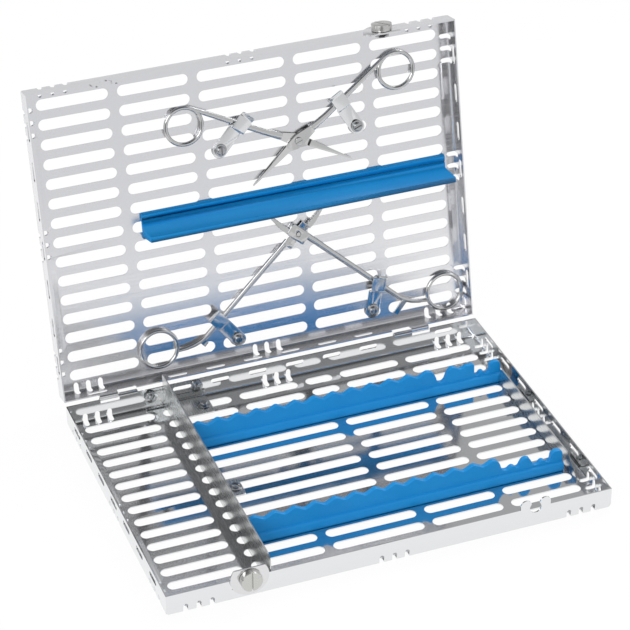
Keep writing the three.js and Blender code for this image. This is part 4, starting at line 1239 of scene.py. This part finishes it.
def waistHalf(side):
    width, length = holderData["waist"]
    thickness = holderData["window"][0] - 2 * holderData["gap"]
    end = length / 2
    longCollar, shortCollar = holderData["collars"]
    waist = centred(width, length + shortCollar, thickness)
    combine(waist, roundBar(holderData["bore"], -5, 9, 24))
    low, high = holderLevel - holderHalf, holderLevel + holderHalf
    for near, far in ((-end - longCollar, -end), (end, end + shortCollar)):
        combine(waist, block((-width / 2, near, low), (width / 2, far, high)), "UNION")
    softenEdges(waist, holderData["rounds"]["waist"])
    return joinUp([waist, holderJaw(-side, end), *holderShank(side, -end), ratchetBar(side)])


def toolPlace(tool, turn=0, level=0):
    place = panelPlace @ shifted(tool["x"], tool["place"], level)
    return place @ Matrix.Rotation(math.radians(turn), 4, "Z")


def buildInstruments():
    upperTurn, lowerTurn = scissorsData["turns"]
    for side, turn, name, node in (
            (1, upperTurn, "scissorsUpper", "scissors_upper"),
            (-1, lowerTurn, "scissorsLower", "scissors_lower")):
        place = toolPlace(scissorsData, turn)
        finishPiece(scissorsHalf(side), name, place, "lid", "toolSteel", node)
    seat = scissorsData["rise"] + scissorsData["thickness"] + scissorsData["lapGap"]
    place = toolPlace(scissorsData, 0, seat)
    finishPiece(fastener("pivot", 20), "scissorsPivot", place, "lid", "toolSteel", "scissors_screw")
    print("scissors made")
    waistTurn, boxTurn = holderData["turns"]
    for make, side, turn, name, node in (
            (boxHalf, 1, boxTurn, "holderBoxHalf", "needle_holder_box_half"),
            (waistHalf, -1, waistTurn, "holderWaistHalf", "needle_holder_waist_half")):
        finishPiece(make(side), name, toolPlace(holderData, turn), "lid", "toolSteel", node)
    print("needle holder made")


buildInstruments()


# CAD pieces whose shape is right only take their finish

plainFinishes = {
    "fastenerSteel": ("hinge_pin_left", "hinge_pin_right", "base_latch_cam", "lid_latch_cam"),
    "toolSteel": ("needle_holder_pin",),
}
for finish, names in plainFinishes.items():
    for name in names:
        paint(nodes[name], finish)


# studio

studioData = {
    # share of the height, and brightness
    "light": ((0, 0.5), (0.35, 0.66), (0.5, 0.8), (0.62, 0.92), (1, 1)),
    "backdrop": ((0, 0.98), (0.24, 0.97), (0.36, 0.84), (0.46, 0.79), (0.6, 0.82), (1, 0.9)),
    "tint": (0.985, 0.99, 1.0),
    # dark cards that only the steel mirrors: where, full and fading angle, what they leave
    "cards": (
        ((0.12, 0.78, 0.6), 14, 34, 0.5),
        ((-0.3, 0.78, 0.55), 13, 25, 0.1),
        ((-0.38, -0.92, -0.06), 11, 21, 0.12),
        ((0.93, 0.1, 0.3), 9, 20, 0.25),
        ((0.0, -0.34, 0.94), 24, 40, 0.12),
        ((0.3, -0.74, 0.6), 8, 22, 0.4),
    ),
    "floor": {"size": 0.9, "gap": 0.0002, "colour": (0.9,) * 3, "rough": 0.9, "shadow": 0.07},
    "key": {"place": (-1.1, -1.0, 0.95), "aim": (0, 0, 0.08), "size": 0.8, "power": 7},
    "rim": {"place": (0.9, 0.5, 1.0), "aim": (0, 0, 0.1), "size": 0.5, "power": 4},
}


def heightRamp(tree, height, steps):
    ramp = addNode(tree, "ShaderNodeValToRGB", {"Fac": height})
    elements = ramp.color_ramp.elements
    while len(elements) < len(steps):
        elements.new(0.5)
    for element, (at, bright) in zip(elements, steps):
        element.position = at
        element.color = [bright * part for part in studioData["tint"]] + [1]
    return ramp.outputs["Color"]


def darkCard(tree, direction, seen, card):
    # dims what is seen inside the card's angle, and fades out round it
    towards, full, fade, left = card
    facing = addNode(tree, "ShaderNodeVectorMath", {
        0: direction, 1: Vector(towards).normalized()}, operation="DOT_PRODUCT")
    edge = addNode(tree, "ShaderNodeMapRange", {
        "Value": facing.outputs["Value"], "To Min": 1, "To Max": left,
        "From Min": math.cos(math.radians(fade)), "From Max": math.cos(math.radians(full)),
    }, interpolation_type="SMOOTHSTEP")
    dimmed = addNode(tree, "ShaderNodeVectorMath", operation="SCALE")
    feed(tree, dimmed, {0: seen, "Scale": edge.outputs[0]})
    return dimmed.outputs[0]


def backgroundRays(tree):
    # 1 for the rays that show the background: straight, mirrored or refracted
    rays = addNode(tree, "ShaderNodeLightPath").outputs
    shows = rays["Is Camera Ray"]
    for kind in ("Is Glossy Ray", "Is Transmission Ray"):
        either = addNode(tree, "ShaderNodeMath", {0: shows, 1: rays[kind]}, operation="MAXIMUM")
        shows = either.outputs[0]
    return shows


def setUpWorld():
    world = bpy.data.worlds.new("studio")
    scene.world = world
    world.use_nodes = True
    tree = world.node_tree
    tree.nodes.clear()
    direction = addNode(tree, "ShaderNodeTexCoord").outputs["Generated"]
    split = addNode(tree, "ShaderNodeSeparateXYZ", {0: direction})
    height = addNode(tree, "ShaderNodeMapRange", {
        "Value": split.outputs["Z"], "From Min": -1, "From Max": 1}).outputs[0]
    seen = heightRamp(tree, height, studioData["backdrop"])
    for card in studioData["cards"]:
        seen = darkCard(tree, direction, seen, card)

    # the camera sees plain white, mirrored and refracted rays the backdrop, and the rest the light
    rays = addNode(tree, "ShaderNodeLightPath").outputs
    plain = addNode(tree, "ShaderNodeMix", {
        0: rays["Is Camera Ray"], 6: seen, 7: (1, 1, 1, 1)}, data_type="RGBA")
    light = addNode(tree, "ShaderNodeBackground", {
        "Color": heightRamp(tree, height, studioData["light"])})
    backdrop = addNode(tree, "ShaderNodeBackground", {"Color": plain.outputs[2]})
    mix = addNode(tree, "ShaderNodeMixShader", {
        "Fac": backgroundRays(tree), 1: light.outputs[0], 2: backdrop.outputs[0]})
    addNode(tree, "ShaderNodeOutputWorld", {"Surface": mix.outputs[0]})


def layFloor():
    values = studioData["floor"]
    deselectAll()
    level = cadBounds[0][2] - values["gap"]
    bpy.ops.mesh.primitive_plane_add(size=values["size"], location=(0, 0, level))
    floor = bpy.context.active_object
    floor.name = "studioFloor"
    material, tree, shader = newMaterial("paleFloor")
    feed(tree, shader, {"Base Color": (*values["colour"], 1), "Roughness": values["rough"]})
    share = addNode(tree, "ShaderNodeMath", {
        0: backgroundRays(tree), 1: 1 - values["shadow"]}, operation="MULTIPLY")
    white = addNode(tree, "ShaderNodeEmission")
    mix = addNode(tree, "ShaderNodeMixShader", {
        "Fac": share.outputs[0], 1: shader.outputs[0], 2: white.outputs[0]})
    feed(tree, tree.nodes["Material Output"], {"Surface": mix.outputs[0]})
    floor.data.materials.append(material)


def areaLight(name):
    values = studioData[name]
    data = bpy.data.lights.new(name, "AREA")
    data.size = values["size"]
    data.energy = values["power"]
    light = bpy.data.objects.new(name, data)
    scene.collection.objects.link(light)
    light.location = values["place"]
    aim = Vector(values["aim"]) - Vector(values["place"])
    light.rotation_euler = aim.to_track_quat("-Z", "Y").to_euler()


setUpWorld()
layFloor()
areaLight("key")
areaLight("rim")
print("studio lit")
